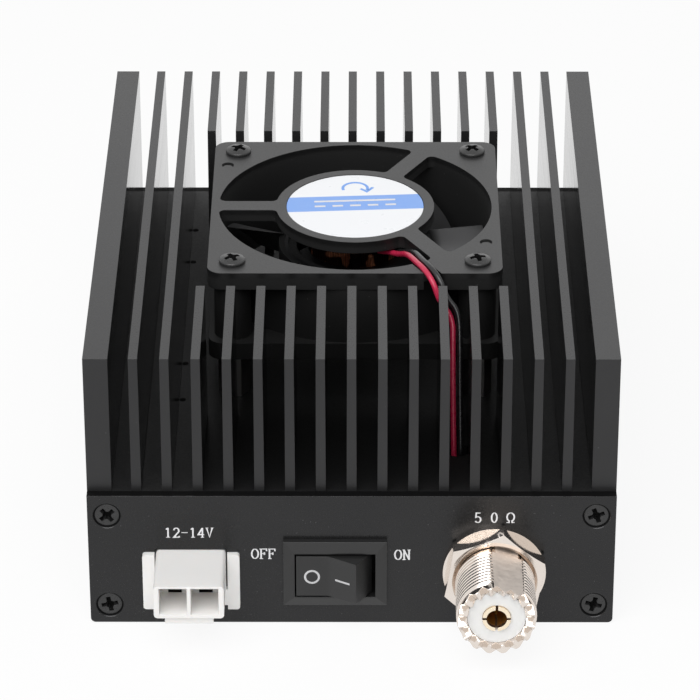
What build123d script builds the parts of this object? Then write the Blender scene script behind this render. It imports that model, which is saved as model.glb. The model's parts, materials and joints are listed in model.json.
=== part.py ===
from build123d import *
import math
import os

# Radio frequency amplifier: a finned heat sink closes a shallow case from above.
# A fan is sunk in its fins, and the sockets and the switch sit in the two end panels.
# Millimetres, +Z up. The front panel faces -Y. The origin is the middle of the case's underside.

# Fits that several pieces share
overrun = 1.0
screw_clearance = 0.1
push_gap = 0.1
seat_gap = 0.05

# Case
case_width = 105.0
case_length = 131.0
base_top = 29.6
base_thickness = 8.0
panel_thickness = 2.0
case_corner = 1.0
tray_floor = 2.5
tray_wall = 3.0
tray_boss = 7.6
tongue_width = 1.2
tongue_height = 0.8

# Fins and the pocket milled through them
fin_pitch = 6.1
fin_height = 30.0
fin_root = 2.0
fin_tip = 1.8
outer_wall = 4.9
pocket_end_gap = 5.35

# Countersunk screws of the end panels
panel_screw_inset = 3.9
panel_screw_low = 4.1
panel_screw_high = 25.0
panel_screw_d = 3.0
panel_screw_head = 5.0
panel_screw_length = 10.0
panel_screw_sunk = 0.35

# Fan
fan_x = 0.6
fan_size = 60.0
fan_thickness = 20.0
fan_corner = 3.0
fan_flange = 3.8
fan_rim = 1.5
fan_wall = 1.4
fan_hole_inset = 5.0
fan_hole_d = 4.2
fan_post_r = 3.8
hub_r = 16.5
spider_thickness = 2.6
strut_width = 4.1
opening_corner = 1.3
left_strut_angle = 180.0
rear_strut_angle = 60.0
lead_strut_angle = -60.0
lead_strut_offset = 3.85
lead_notch_left = 2.9
lead_notch_right = 0.2
label_r = 14.3
label_thickness = 0.2
label_recess = 0.3

# Fan screws and the standoffs that carry the fan
standoff_height = 10.0
standoff_across = 5.5
standoff_stud = 5.0
standoff_thread = 7.0
fan_screw_d = 3.0
fan_screw_head = 5.4
fan_screw_head_height = 1.3
fan_screw_round_share = 0.6
fan_screw_bite = 6.0

# Fan motor
shaft_d = 3.0
shaft_running_clearance = 0.03
bearing_d = 5.0
bearing_length = 9.0
bearing_tube_d = 7.0
bearing_tube_foot = 4.6
bearing_tube_seat = 1.4
bearing_foot = 5.0
clip_thickness = 0.5
clip_d = 4.4
clip_gap = 0.4
groove_d = 2.2
rotor_foot = 1.2
rotor_rim = 11.6
rotor_r = 16.0
rotor_wall = 1.2
rotor_floor = 1.8
shaft_boss_d = 6.0
shaft_boss_height = 1.0
yoke_thickness = 0.8
magnet_thickness = 1.7
magnet_foot = 3.6
magnet_rim = 11.2
air_gap = 0.5
core_foot = 7.0
core_thickness = 3.5
core_hub_r = 5.4
pole_count = 4
pole_neck = 3.6
pole_shoe = 2.0
pole_gap_angle = 20.0
coil_build = 2.2
coil_overhang = 2.9
motor_board_r = 12.5
motor_board_thickness = 1.0
motor_board_gap = 0.3

# Fan blades
blade_count = 7
blade_tip_gap = 0.9
blade_thickness = 1.2
blade_root_chord = 13.0
blade_tip_chord = 17.5
blade_root_angle = 52.0
blade_tip_angle = 36.0
blade_camber_share = 0.09
blade_mid = 6.9

# RF sockets, one on each panel, from the panel's outer face
antenna_place_share = 0.2714
input_x = 0.0
socket_z = 12.3
thread_d = 15.88
thread_minor_d = 14.8
neck_gap = 0.2
socket_reach = 18.6
socket_flange_d = 17.6
socket_flange_thickness = 1.6
socket_tail = 4.0
socket_tail_d = 13.4
socket_bore_d = 11.6
flat_depth = 1.0
flat_turn = 18.0
tooth_count = 16
tooth_depth = 1.4
tooth_width = 2.2
insulator_recess = 1.3
contact_recess = 0.8
contact_d = 5.6
contact_bore_d = 4.06
contact_bore_depth = 12.0
contact_slit = 0.5
contact_slit_length = 6.0
contact_slits = 4
solder_tail_d = 3.2
solder_tail = 3.0
nut_across = 18.5
nut_thickness = 3.4
nut_turn = 21.0
nut_chamfer = 0.9
nut_mouth = 1.0
washer_d = 20.6
washer_thickness = 1.0
thread_clearance = 0.1

# Power socket, from the panel's outer face
power_place_share = -0.3053
power_reach = 13.7
power_width = 13.9
power_top = 17.1
power_bottom = 9.75
power_flange_width = 19.4
power_flange_top = 16.6
power_flange_bottom = 3.8
power_flange_thickness = 1.2
power_flange_notch = 1.0
power_flange_corner = 0.6
power_slit = 0.3
power_slit_foot = 8.5
power_corner = 0.8
power_cell_pitch = 6.25
power_cell_width = 5.5
power_cell_depth = 8.2
power_cell_wall_top = 0.5
power_cell_wall_bottom = 0.85
power_tab_width = 9.6
power_tab_thickness = 1.5
power_tab_length = 9.0
power_tab_setback = 0.5
power_rear = 8.0
power_catch = 0.7
power_catch_length = 4.0
contact_slot_width = 2.7
contact_slot_height = 2.6
contact_slot_rise = 0.6
contact_sheet = 0.35
contact_setback = 0.1
contact_tail_lap = 0.6
contact_tail_length = 5.0
contact_tail_width = 1.6

# Rocker switch, from the panel's outer face
switch_place_share = -0.0315
switch_z = 12.25
bezel_width = 20.7
bezel_height = 14.8
bezel_thickness = 1.95
bezel_edge = 1.2
bezel_land = 0.25
switch_body_width = 18.8
switch_body_height = 12.8
switch_body_depth = 13.0
switch_window_width = 16.1
switch_window_height = 10.05
switch_room_width = 17.5
switch_room_height = 11.2
switch_room_depth = 8.4
switch_catch = 0.8
switch_catch_width = 5.0
switch_catch_length = 3.5
rocker_height = 9.2
rocker_half_angle = 15.0
rocker_pivot_depth = 5.2
rocker_facet = 6.4
rocker_proud = 0.15
rocker_foot_x = 8.0
rocker_foot_y = 1.4
rocker_heel_x = 7.0
rocker_heel_y = 0.9
rocker_keel_width = 4.4
rocker_keel_depth = 3.4
rocker_fold_r = 2.5
pivot_d = 2.4
pivot_length = 1.5
pivot_clearance = 0.05
terminal_width = 4.8
terminal_thickness = 0.8
terminal_pitch = 7.0
terminal_reach = 8.0
terminal_hole_d = 1.8
terminal_root = 1.0

# Circuit board under the heat sink's base, and what hangs from it
board_side_gap = 5.5
board_end_gap = 7.5
board_thickness = 1.6
board_screw_inset = 4.0
board_screw_d = 3.0
board_screw_head = 5.6
board_screw_head_height = 2.0
board_screw_bite = 4.5
transistor_along_share = 0.103
transistor_flange_length = 23.0
transistor_flange_width = 9.8
transistor_flange_thickness = 1.6
transistor_cap_length = 12.0
transistor_cap_width = 9.4
transistor_cap_height = 3.2
transistor_screw_spacing = 17.6
transistor_lead_width = 5.0
transistor_lead_thickness = 0.4
transistor_lead_length = 4.5
transformer_along_share = -0.121
transformer_length = 28.0
transformer_width = 14.5
transformer_height = 7.5
transformer_hole_d = 4.6
transformer_hole_spacing = 7.0
relay_across_share = 0.318
relay_along_share = -0.31
relay_length = 19.0
relay_width = 15.5
relay_height = 12.5
relay_corner = 1.0
toroid_across_share = 0.318
toroid_first_share = -0.086
toroid_pitch = 17.0
toroid_count = 3
toroid_d = 13.0
toroid_hole_d = 7.6
toroid_height = 5.0
toroid_edge = 0.8
capacitor_across_share = -0.341
capacitor_along_share = -0.19
capacitor_d = 10.0
capacitor_length = 16.0
capacitor_groove = 0.6
capacitor_groove_setback = 2.5
strap_width = 4.0
strap_thickness = 0.5
strap_foot = 7.0
strap_below = 2.5

# Fan lead: two wires from the motor's board over the frame's edge, down a fin channel and into the case
wire_d = 1.2
lead_hole_x = 21.3
lead_hole_y = -49.5
lead_hole_d = 5.0
wire_bend_share = 0.45
red_route = [
    (5.5, -11.4, 54.9),
    (7.6, -16.2, 55.4),
    (10.3, -20.9, 56.9),
    (13.3, -26.0, 58.2),
    (15.7, -30.5, 57.4),
    (17.3, -32.7, 53.0),
    (19.6, -33.7, 47.6),
    (20.9, -37.2, 42.4),
    (20.8, -42.2, 38.0),
    (20.6, -46.8, 33.8),
    (20.6, -49.0, 29.0),
    (20.6, -49.7, 25.2),
    (20.7, -49.5, 21.9),
]
black_route = [
    (6.9, -10.6, 54.7),
    (8.9, -15.4, 55.2),
    (11.5, -20.2, 56.6),
    (14.5, -25.3, 57.9),
    (17.1, -30.0, 56.9),
    (18.8, -31.8, 52.4),
    (21.0, -32.9, 47.2),
    (22.2, -36.6, 42.0),
    (22.1, -41.8, 37.4),
    (22.0, -46.6, 33.2),
    (21.9, -49.0, 28.8),
    (21.9, -49.7, 25.2),
    (22.0, -49.5, 21.9),
]

# Sizes that follow from the values above
half_width = case_width / 2
half_length = case_length / 2
base_bottom = base_top - base_thickness
fin_top = base_top + fin_height
panel_face = half_length + panel_thickness
panel_screw_x = half_width - panel_screw_inset
antenna_x = antenna_place_share * case_width
power_x = power_place_share * case_width
switch_x = switch_place_share * case_width
fan_bottom = base_top + standoff_height
fan_bore_r = fan_size / 2 - fan_rim
fan_hole_spacing = fan_size - 2 * fan_hole_inset
fins_each_side = math.floor((half_width - outer_wall - fin_root / 2) / fin_pitch)
pocket_fins_each_side = math.ceil((fan_size / 2 + abs(fan_x)) / fin_pitch - 1 / 2)
pocket_length = fan_size + 2 * pocket_end_gap
rotor_inner_r = rotor_r - rotor_wall
magnet_inner_r = rotor_inner_r - yoke_thickness - magnet_thickness
core_r = magnet_inner_r - air_gap
board_bottom = base_bottom - board_thickness
board_width = case_width - 2 * (tray_wall + board_side_gap)
board_length = case_length - 2 * board_end_gap
transistor_y = transistor_along_share * board_length
pivot_y = rocker_pivot_depth * math.cos(math.radians(rocker_half_angle)) - bezel_thickness - rocker_proud


def block(x0, x1, y0, y1, z0, z1):
    """Box between two corners."""
    place = Pos((x0 + x1) / 2, (y0 + y1) / 2, (z0 + z1) / 2)
    return place * Box(x1 - x0, y1 - y0, z1 - z0)


def rod_z(diameter, z0, z1, x=0, y=0):
    """Upright cylinder."""
    return Pos(x, y, (z0 + z1) / 2) * Cylinder(diameter / 2, z1 - z0)


def rod_y(diameter, y0, y1, x=0, z=0):
    """Cylinder along Y."""
    return Pos(x, (y0 + y1) / 2, z) * Rot(90, 0, 0) * Cylinder(diameter / 2, y1 - y0)


def turned_y(points):
    """Solid of revolution about the Y axis, from (radius, y) points."""
    return revolve(make_face(Polyline(*points, close=True)), Axis.Y)


def turned_z(points):
    """Solid of revolution about the Z axis, from (radius, z) points."""
    return revolve(Plane.XZ * make_face(Polyline(*points, close=True)), Axis.Z)


def at_corners(spacing_x, spacing_y):
    """Four places at the corners of a rectangle."""
    return GridLocations(spacing_x, spacing_y, 2, 2).locations


def on_front(solid, x, z):
    """Piece made about the panel's outer face, placed on the front panel."""
    return Pos(x, -panel_face, z) * solid


def on_rear(solid, x, z):
    """Piece made about the panel's outer face, turned round to the rear panel."""
    return Pos(x, panel_face, z) * Rot(0, 0, 180) * solid


def panel_screw_places():
    """The (x, z) places of one panel's screws."""
    return [(side * panel_screw_x, z) for side in (-1, 1) for z in (panel_screw_low, panel_screw_high)]


def board_screw_places():
    """The (x, y) places of the board's screws."""
    spacing_x = board_width - 2 * board_screw_inset
    spacing_y = board_length - 2 * board_screw_inset
    corners = [(place.position.X, place.position.Y) for place in at_corners(spacing_x, spacing_y)]
    return corners + [(-spacing_x / 2, 0), (spacing_x / 2, 0)]


def transistor_screw_places():
    """The (x, y) places of the transistor's two screws."""
    return [(side * transistor_screw_spacing / 2, transistor_y) for side in (-1, 1)]


# Case


def fin_section(x):
    """One tapered fin, rooted in the middle of the base."""
    root = fin_root / 2
    tip = fin_tip / 2
    foot = (base_bottom + base_top) / 2
    right = [(x + root, foot), (x + root, base_top), (x + tip, fin_top)]
    left = [(x - tip, fin_top), (x - root, base_top), (x - root, foot)]
    return make_face(Polyline(*right, *left, close=True))


def heat_sink():
    section = Pos(0, (base_bottom + base_top) / 2) * Rectangle(case_width, base_thickness)
    for number in range(-fins_each_side, fins_each_side + 1):
        section += fin_section(number * fin_pitch)
    wall_height = fin_top - base_bottom
    for side in (-1, 1):
        wall_x = side * (half_width - outer_wall / 2)
        section += Pos(wall_x, base_bottom + wall_height / 2) * Rectangle(outer_wall, wall_height)
        groove_x = side * (half_width - tray_wall / 2)
        groove_width = tongue_width + 2 * push_gap
        groove_height = tongue_height + push_gap
        section -= Pos(groove_x, base_bottom) * Rectangle(groove_width, 2 * groove_height)
    body = extrude(Plane.XZ * section, amount=half_length, both=True)
    pocket_half = (pocket_fins_each_side + 1 / 2) * fin_pitch
    pocket_y = pocket_length / 2
    body -= block(-pocket_half, pocket_half, -pocket_y, pocket_y, base_top, fin_top + overrun)
    thread = panel_screw_d + screw_clearance
    depth = half_length - panel_screw_length
    for side in (-1, 1):
        for end in (-1, 1):
            y0, y1 = sorted((end * depth, end * (half_length + overrun)))
            body -= rod_y(thread, y0, y1, side * panel_screw_x, panel_screw_high)
    stud = fan_screw_d + screw_clearance
    for place in at_corners(fan_hole_spacing, fan_hole_spacing):
        x = fan_x + place.position.X
        body -= rod_z(stud, base_top - standoff_stud - seat_gap, base_top + overrun, x, place.position.Y)
    for x, y in board_screw_places() + transistor_screw_places():
        top = base_bottom + board_screw_bite + seat_gap
        body -= rod_z(board_screw_d + screw_clearance, base_bottom - overrun, top, x, y)
    body -= rod_z(lead_hole_d, base_bottom - overrun, base_top + overrun, lead_hole_x, lead_hole_y)
    return body


def bottom_tray():
    section = Pos(0, tray_floor / 2) * Rectangle(case_width, tray_floor)
    for side in (-1, 1):
        wall_x = side * (half_width - tray_wall / 2)
        boss_x = side * (half_width - tray_boss / 2)
        section += Pos(wall_x, base_bottom / 2) * Rectangle(tray_wall, base_bottom)
        section += Pos(boss_x, tray_boss / 2) * Rectangle(tray_boss, tray_boss)
        section += Pos(wall_x, base_bottom) * Rectangle(tongue_width, 2 * tongue_height)
    lowest = section.vertices().group_by(Axis.Y)[0].sort_by(Axis.X)
    section = fillet([lowest[0], lowest[-1]], case_corner)
    body = extrude(Plane.XZ * section, amount=half_length, both=True)
    thread = panel_screw_d + screw_clearance
    for side in (-1, 1):
        for end in (-1, 1):
            y0, y1 = sorted((end * (half_length - panel_screw_length), end * (half_length + overrun)))
            body -= rod_y(thread, y0, y1, side * panel_screw_x, panel_screw_low)
    return body


def countersink():
    """Cone cut for a sunk screw's head, its wide end at the panel's outer face."""
    wide = panel_screw_head / 2 + panel_screw_sunk + seat_gap
    return turned_y([(0, 0), (wide, 0), (0, wide)])


def end_panel():
    """Plate with its four countersunk holes, about the middle of its outer face's lower edge."""
    outline = Pos(0, base_top / 2) * Rectangle(case_width, base_top)
    outline = fillet(outline.vertices().group_by(Axis.Y)[0], case_corner)
    plate = Pos(0, panel_thickness, 0) * extrude(Plane.XZ * outline, amount=panel_thickness)
    for x, z in panel_screw_places():
        plate -= rod_y(panel_screw_d + screw_clearance, -overrun, panel_thickness + overrun, x, z)
        plate -= Pos(x, 0, z) * countersink()
    return plate


def thread_flat(clearance):
    """What the flat on the RF socket's thread leaves out."""
    reach = socket_reach + overrun
    half = thread_d / 2 + clearance
    return Rot(0, flat_turn, 0) * block(-half, half, -reach, reach, half - flat_depth, thread_d)


def socket_hole(x):
    """Hole with a flat, which keeps the RF socket from turning."""
    hole = rod_y(thread_d + 2 * push_gap, -overrun, panel_thickness + overrun)
    return Pos(x, 0, socket_z) * (hole - thread_flat(push_gap))


def front_panel():
    plate = end_panel() - socket_hole(antenna_x)
    reach = panel_thickness + overrun
    half_x = switch_body_width / 2 + push_gap
    half_z = switch_body_height / 2 + push_gap
    plate -= Pos(switch_x, 0, switch_z) * block(-half_x, half_x, -overrun, reach, -half_z, half_z)
    half_x = power_width / 2 + push_gap
    plate -= block(power_x - half_x, power_x + half_x, -overrun, reach,
                   power_bottom - push_gap, power_top + push_gap)
    return on_front(plate, 0, 0)


def rear_panel():
    return on_rear(end_panel() - socket_hole(-input_x), 0, 0)


def panel_screw():
    """Countersunk screw about the middle of its hole at the panel's outer face."""
    wide = panel_screw_head / 2
    narrow = panel_screw_d / 2
    top = panel_screw_sunk
    shoulder = top + wide - narrow
    tip = panel_thickness + panel_screw_length - seat_gap
    return turned_y([(0, top), (wide, top), (narrow, shoulder), (narrow, tip), (0, tip)])


def panel_screws():
    front = [on_front(panel_screw(), x, z) for x, z in panel_screw_places()]
    rear = [on_rear(panel_screw(), x, z) for x, z in panel_screw_places()]
    return Compound(children=front + rear)


# Fan, made about its axis with its underside at z = 0


def in_pocket(solid):
    """Fan piece placed in the heat sink's pocket."""
    return Pos(fan_x, 0, fan_bottom) * solid


def strut(angle, offset):
    """Outline of one arm from the hub to the frame, beside its radius by the offset."""
    reach = fan_bore_r + fan_wall
    return Rot(0, 0, angle) * Pos(reach / 2, offset) * Rectangle(reach, strut_width)


def duct_openings():
    """Outline of the three openings round the hub, their corners rounded."""
    outline = Circle(fan_bore_r) - Circle(hub_r)
    outline -= strut(left_strut_angle, 0)
    outline -= strut(rear_strut_angle, 0)
    outline -= strut(lead_strut_angle, lead_strut_offset)
    return fillet(outline.vertices(), opening_corner)


def fan_frame():
    square = extrude(RectangleRounded(fan_size, fan_size, fan_corner), amount=fan_thickness)
    waist = rod_z(2 * (fan_bore_r + fan_wall), 0, fan_thickness)
    for place in at_corners(fan_hole_spacing, fan_hole_spacing):
        waist += place * rod_z(2 * fan_post_r, 0, fan_thickness)
    size = fan_size + overrun
    band = block(-size / 2, size / 2, -size / 2, size / 2, fan_flange, fan_thickness - fan_flange)
    frame = square - (band - waist)
    frame -= rod_z(2 * fan_bore_r, -overrun, fan_thickness - spider_thickness)
    frame -= Pos(0, 0, fan_thickness - spider_thickness) * extrude(duct_openings(), amount=fan_thickness)
    frame -= rod_z(2 * (label_r + push_gap), fan_thickness - label_recess, fan_thickness + overrun)
    tube_top = fan_thickness - spider_thickness + bearing_tube_seat
    frame -= rod_z(bearing_tube_d + seat_gap, 0, tube_top)
    for place in at_corners(fan_hole_spacing, fan_hole_spacing):
        frame -= place * rod_z(fan_hole_d, -overrun, fan_thickness + overrun)
    notch = block(hub_r + strut_width, fan_size, -lead_notch_left, lead_notch_right,
                  fan_thickness - fan_flange, fan_thickness + overrun)
    frame -= Rot(0, 0, lead_strut_angle) * notch
    return in_pocket(frame)


def fan_bearing_tube():
    """Brass tube pressed into the hub, round which the stator sits."""
    top = fan_thickness - spider_thickness + bearing_tube_seat
    tube = rod_z(bearing_tube_d, bearing_tube_foot, top)
    return in_pocket(tube - rod_z(bearing_d + seat_gap, 0, fan_thickness))


def fan_label():
    foot = fan_thickness - label_recess
    disc = rod_z(2 * label_r, foot, foot + label_thickness)
    return in_pocket(disc)


def fan_standoffs():
    """Hexagonal standoffs with a stud below and a threaded hole above."""
    hexagon = RegularPolygon(standoff_across / 2, 6, major_radius=False)
    post = extrude(hexagon, amount=standoff_height)
    post += rod_z(fan_screw_d, -standoff_stud, 0)
    hole_foot = standoff_height - standoff_thread
    post -= rod_z(fan_screw_d + screw_clearance, hole_foot, standoff_height + overrun)
    ground = Pos(fan_x, 0, base_top)
    places = at_corners(fan_hole_spacing, fan_hole_spacing)
    return Compound(children=[ground * place * post for place in places])


def fan_screw():
    """Pan-head screw, its head's underside on the frame's top."""
    head = fan_screw_head / 2
    shank = fan_screw_d / 2
    top = fan_thickness + fan_screw_head_height
    crown = head * fan_screw_round_share
    shoulder = fan_thickness + fan_screw_head_height * fan_screw_round_share
    return turned_z([(0, -fan_screw_bite), (shank, -fan_screw_bite), (shank, fan_thickness),
                     (head, fan_thickness), (head, shoulder), (crown, top), (0, top)])


def fan_screws():
    places = at_corners(fan_hole_spacing, fan_hole_spacing)
    return Compound(children=[in_pocket(place * fan_screw()) for place in places])


def fan_bearing():
    sleeve = rod_z(bearing_d, bearing_foot, bearing_foot + bearing_length)
    sleeve -= rod_z(shaft_d + 2 * shaft_running_clearance, 0, fan_thickness)
    return in_pocket(sleeve)


def fan_circuit_board():
    top = fan_thickness - spider_thickness - motor_board_gap
    disc = rod_z(2 * motor_board_r, top - motor_board_thickness, top)
    disc -= rod_z(bearing_tube_d + 2 * push_gap, 0, fan_thickness)
    return in_pocket(disc)


def pole(angle):
    """One salient pole: a neck and its curved shoe."""
    neck = block(0, core_r - pole_shoe / 2, -pole_neck / 2, pole_neck / 2, 0, core_thickness)
    half = 180 / pole_count - pole_gap_angle / 2
    edge_y = core_r * math.sin(math.radians(half))
    shoe = rod_z(2 * core_r, 0, core_thickness) - rod_z(2 * (core_r - pole_shoe), 0, core_thickness)
    shoe &= block(0, core_r + overrun, -edge_y, edge_y, 0, core_thickness)
    return Rot(0, 0, angle) * (neck + shoe)


def pole_angles():
    return [(number + 1 / 2) * 360 / pole_count for number in range(pole_count)]


def fan_stator_core():
    core = rod_z(2 * core_hub_r, 0, core_thickness)
    for angle in pole_angles():
        core += pole(angle)
    core -= rod_z(bearing_tube_d + seat_gap, -overrun, core_thickness + overrun)
    return in_pocket(Pos(0, 0, core_foot) * core)


def fan_coils():
    """Copper windings, one round each pole's neck."""
    inner = core_hub_r + push_gap
    outer = core_r - pole_shoe - push_gap
    half = pole_neck / 2 + push_gap
    wide = half + coil_build
    foot = -coil_overhang
    top = core_thickness + coil_overhang
    winding = block(inner, outer, -wide, wide, foot, top)
    winding = fillet(winding.edges().filter_by(Axis.X), coil_build / 2)
    winding -= block(inner - overrun, outer + overrun, -half, half, -push_gap, core_thickness + push_gap)
    side = outer * math.tan(math.radians(180 / pole_count))
    sector = make_face(Polyline((0, 0), (outer, side), (outer, -side), close=True))
    winding &= Pos(push_gap, 0, foot) * extrude(sector, amount=top - foot)
    winding &= rod_z(2 * outer, foot, top)
    lift = Pos(0, 0, core_foot)
    return Compound(children=[in_pocket(lift * Rot(0, 0, angle) * winding) for angle in pole_angles()])


def blade_section(radius, chord, angle):
    """Cambered blade section on the plane square to the radius."""
    half = chord / 2
    bow = chord * blade_camber_share
    skin = blade_thickness / 2
    upper = ThreePointArc((-half, 0), (0, bow + skin), (half, 0))
    lower = ThreePointArc((half, 0), (0, bow - skin), (-half, 0))
    plane = Plane(origin=(radius, 0, blade_mid), x_dir=(0, 1, 0), z_dir=(1, 0, 0))
    return plane * Rot(0, 0, angle) * make_face(upper + lower)


def fan_blade():
    """Twisted blade from inside the hub's wall to the tip circle."""
    tip_r = fan_bore_r - blade_tip_gap
    inner = rotor_inner_r - rotor_wall
    sections = [
        blade_section(inner, blade_root_chord, blade_root_angle),
        blade_section(tip_r + rotor_wall, blade_tip_chord, blade_tip_angle),
    ]
    blade = loft(sections)
    root_r = rotor_r - rotor_wall / 2
    swept = rod_z(2 * tip_r, 0, fan_thickness) - rod_z(2 * root_r, 0, fan_thickness)
    return blade & swept


def fan_impeller():
    cup = rod_z(2 * rotor_r, rotor_foot, rotor_rim)
    cup = fillet(cup.edges().group_by(Axis.Z)[0], rotor_wall)
    floor = rotor_foot + rotor_floor
    cup -= rod_z(2 * rotor_inner_r, floor, rotor_rim + overrun)
    cup += rod_z(shaft_boss_d, rotor_foot, floor + shaft_boss_height)
    cup -= rod_z(shaft_d, rotor_foot - overrun, fan_thickness)
    blade = fan_blade()
    for number in range(blade_count):
        cup += Rot(0, 0, number * 360 / blade_count) * blade
    return in_pocket(cup)


def fan_rotor_yoke():
    floor = rotor_foot + rotor_floor
    ring = rod_z(2 * rotor_inner_r, floor, rotor_rim)
    ring -= rod_z(2 * (rotor_inner_r - yoke_thickness), 0, fan_thickness)
    return in_pocket(ring)


def fan_magnet_ring():
    ring = rod_z(2 * (rotor_inner_r - yoke_thickness), magnet_foot, magnet_rim)
    ring -= rod_z(2 * magnet_inner_r, 0, fan_thickness)
    return in_pocket(ring)


def fan_shaft():
    clip_foot = bearing_foot + bearing_length + clip_gap
    tip = clip_foot + 2 * clip_thickness
    rod = rod_z(shaft_d, rotor_foot, tip)
    groove = rod_z(shaft_d + overrun, clip_foot, clip_foot + clip_thickness)
    rod -= groove - rod_z(groove_d, 0, fan_thickness)
    return in_pocket(rod)


def fan_clip():
    foot = bearing_foot + bearing_length + clip_gap
    ring = rod_z(clip_d, foot, foot + clip_thickness) - rod_z(groove_d, 0, fan_thickness)
    mouth = groove_d / 2
    ring -= block(0, clip_d, -mouth / 2, mouth / 2, 0, fan_thickness)
    return in_pocket(ring)


def lead(route):
    """Wire along its route, each bend as large as its two runs allow."""
    points = [Vector(*point) for point in route]
    radii = []
    for before, here, after in zip(points, points[1:], points[2:]):
        turn = math.radians((here - before).get_angle(after - here))
        shorter = min((here - before).length, (after - here).length)
        radii.append(wire_bend_share * shorter / math.tan(turn / 2))
    path = FilletPolyline(*points, radius=radii)
    tube = sweep(Plane(origin=path @ 0, z_dir=path % 0) * Circle(wire_d / 2), path=path)
    straight_volume = math.pi * (wire_d / 2) ** 2 * path.length
    print("wire radii", [round(radius, 1) for radius in radii], "length", round(path.length, 1),
          "volume ratio", round(tube.volume / straight_volume, 4))
    return tube


def fan_lead_red():
    return lead(red_route)


def fan_lead_black():
    return lead(black_route)


# RF sockets, made about their axis with the panel's outer face at y = 0 and the front towards -Y


def socket_rear():
    return panel_thickness + socket_flange_thickness + socket_tail


def socket_shell():
    """Threaded barrel with a flat, a toothed rim, a neck under the nut and an inner flange."""
    thread = thread_d / 2
    neck = thread_minor_d / 2
    neck_front = -washer_thickness - nut_thickness - neck_gap
    bore = socket_bore_d / 2
    flange = socket_flange_d / 2
    tail = socket_tail_d / 2
    flange_back = panel_thickness + socket_flange_thickness
    shell = turned_y([(bore, -socket_reach), (thread, -socket_reach), (thread, neck_front),
                      (neck, neck_front), (neck, panel_thickness), (flange, panel_thickness),
                      (flange, flange_back), (tail, flange_back), (tail, socket_rear()),
                      (bore, socket_rear())])
    shell -= thread_flat(0) & rod_y(2 * thread_d, -socket_reach - overrun, panel_thickness)
    half = tooth_width / 2
    valley = -socket_reach + tooth_depth
    notch = make_face(Polyline((-socket_reach, -half), (valley, 0), (-socket_reach, half), close=True))
    cutter = extrude(Plane.YZ * notch, amount=thread_d)
    for number in range(tooth_count):
        shell -= Rot(0, number * 360 / tooth_count, 0) * cutter
    return shell


def socket_insulator():
    front = -socket_reach + insulator_recess
    plug = rod_y(socket_bore_d - 2 * seat_gap, front, socket_rear())
    return plug - rod_y(contact_d + 2 * seat_gap, front - overrun, socket_rear() + overrun)


def socket_contact():
    """Slit centre contact with a solder tail behind."""
    front = -socket_reach + contact_recess
    pin = rod_y(contact_d, front, socket_rear())
    pin += rod_y(solder_tail_d, socket_rear(), socket_rear() + solder_tail)
    pin -= rod_y(contact_bore_d, front - overrun, front + contact_bore_depth)
    half = contact_slit / 2
    slit = block(0, contact_d, front - overrun, front + contact_slit_length, -half, half)
    for number in range(contact_slits):
        pin -= Rot(0, number * 360 / contact_slits, 0) * slit
    return pin


def socket_nut():
    """Hexagonal nut with both faces' corners turned off."""
    back = -washer_thickness
    front = back - nut_thickness
    hexagon = RegularPolygon(nut_across / 2, 6, major_radius=False)
    nut = Pos(0, back, 0) * extrude(Plane.XZ * hexagon, amount=nut_thickness)
    flat = nut_across / 2
    full = flat + nut_chamfer * 2
    nut &= turned_y([(0, back), (full, back), (full, front + nut_chamfer), (flat, front), (0, front)])
    bore = thread_minor_d / 2 + thread_clearance
    nut -= turned_y([(0, back + overrun), (bore, back + overrun), (bore, front + nut_mouth),
                     (bore + nut_mouth, front), (0, front)])
    return Rot(0, -nut_turn, 0) * nut


def socket_washer():
    ring = rod_y(washer_d, -washer_thickness, 0)
    return ring - rod_y(thread_d + 2 * push_gap, -washer_thickness - overrun, overrun)


# Power socket, made about its middle line with the panel's outer face at y = 0


def power_cells():
    """The middle lines of the two cells."""
    return [-power_cell_pitch / 2, power_cell_pitch / 2]


def power_flange():
    """Ears beside the body, cut free of it by two slits and notched below."""
    height = power_flange_top - power_flange_bottom
    middle = (power_flange_top + power_flange_bottom) / 2
    outline = Pos(0, middle) * RectangleRounded(power_flange_width, height, power_flange_corner)
    plate = extrude(Plane.XZ * outline, amount=power_flange_thickness)
    half = power_width / 2
    notch_top = power_flange_bottom + power_flange_notch
    notch_half = half + power_slit
    plate -= block(-notch_half, notch_half, -power_flange_thickness - overrun, overrun,
                   power_flange_bottom - overrun, notch_top)
    for side in (-1, 1):
        x0, x1 = sorted((side * half, side * (half + power_slit)))
        plate -= block(x0, x1, -power_flange_thickness - overrun, overrun,
                       power_slit_foot, power_flange_top + overrun)
    return plate


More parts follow.
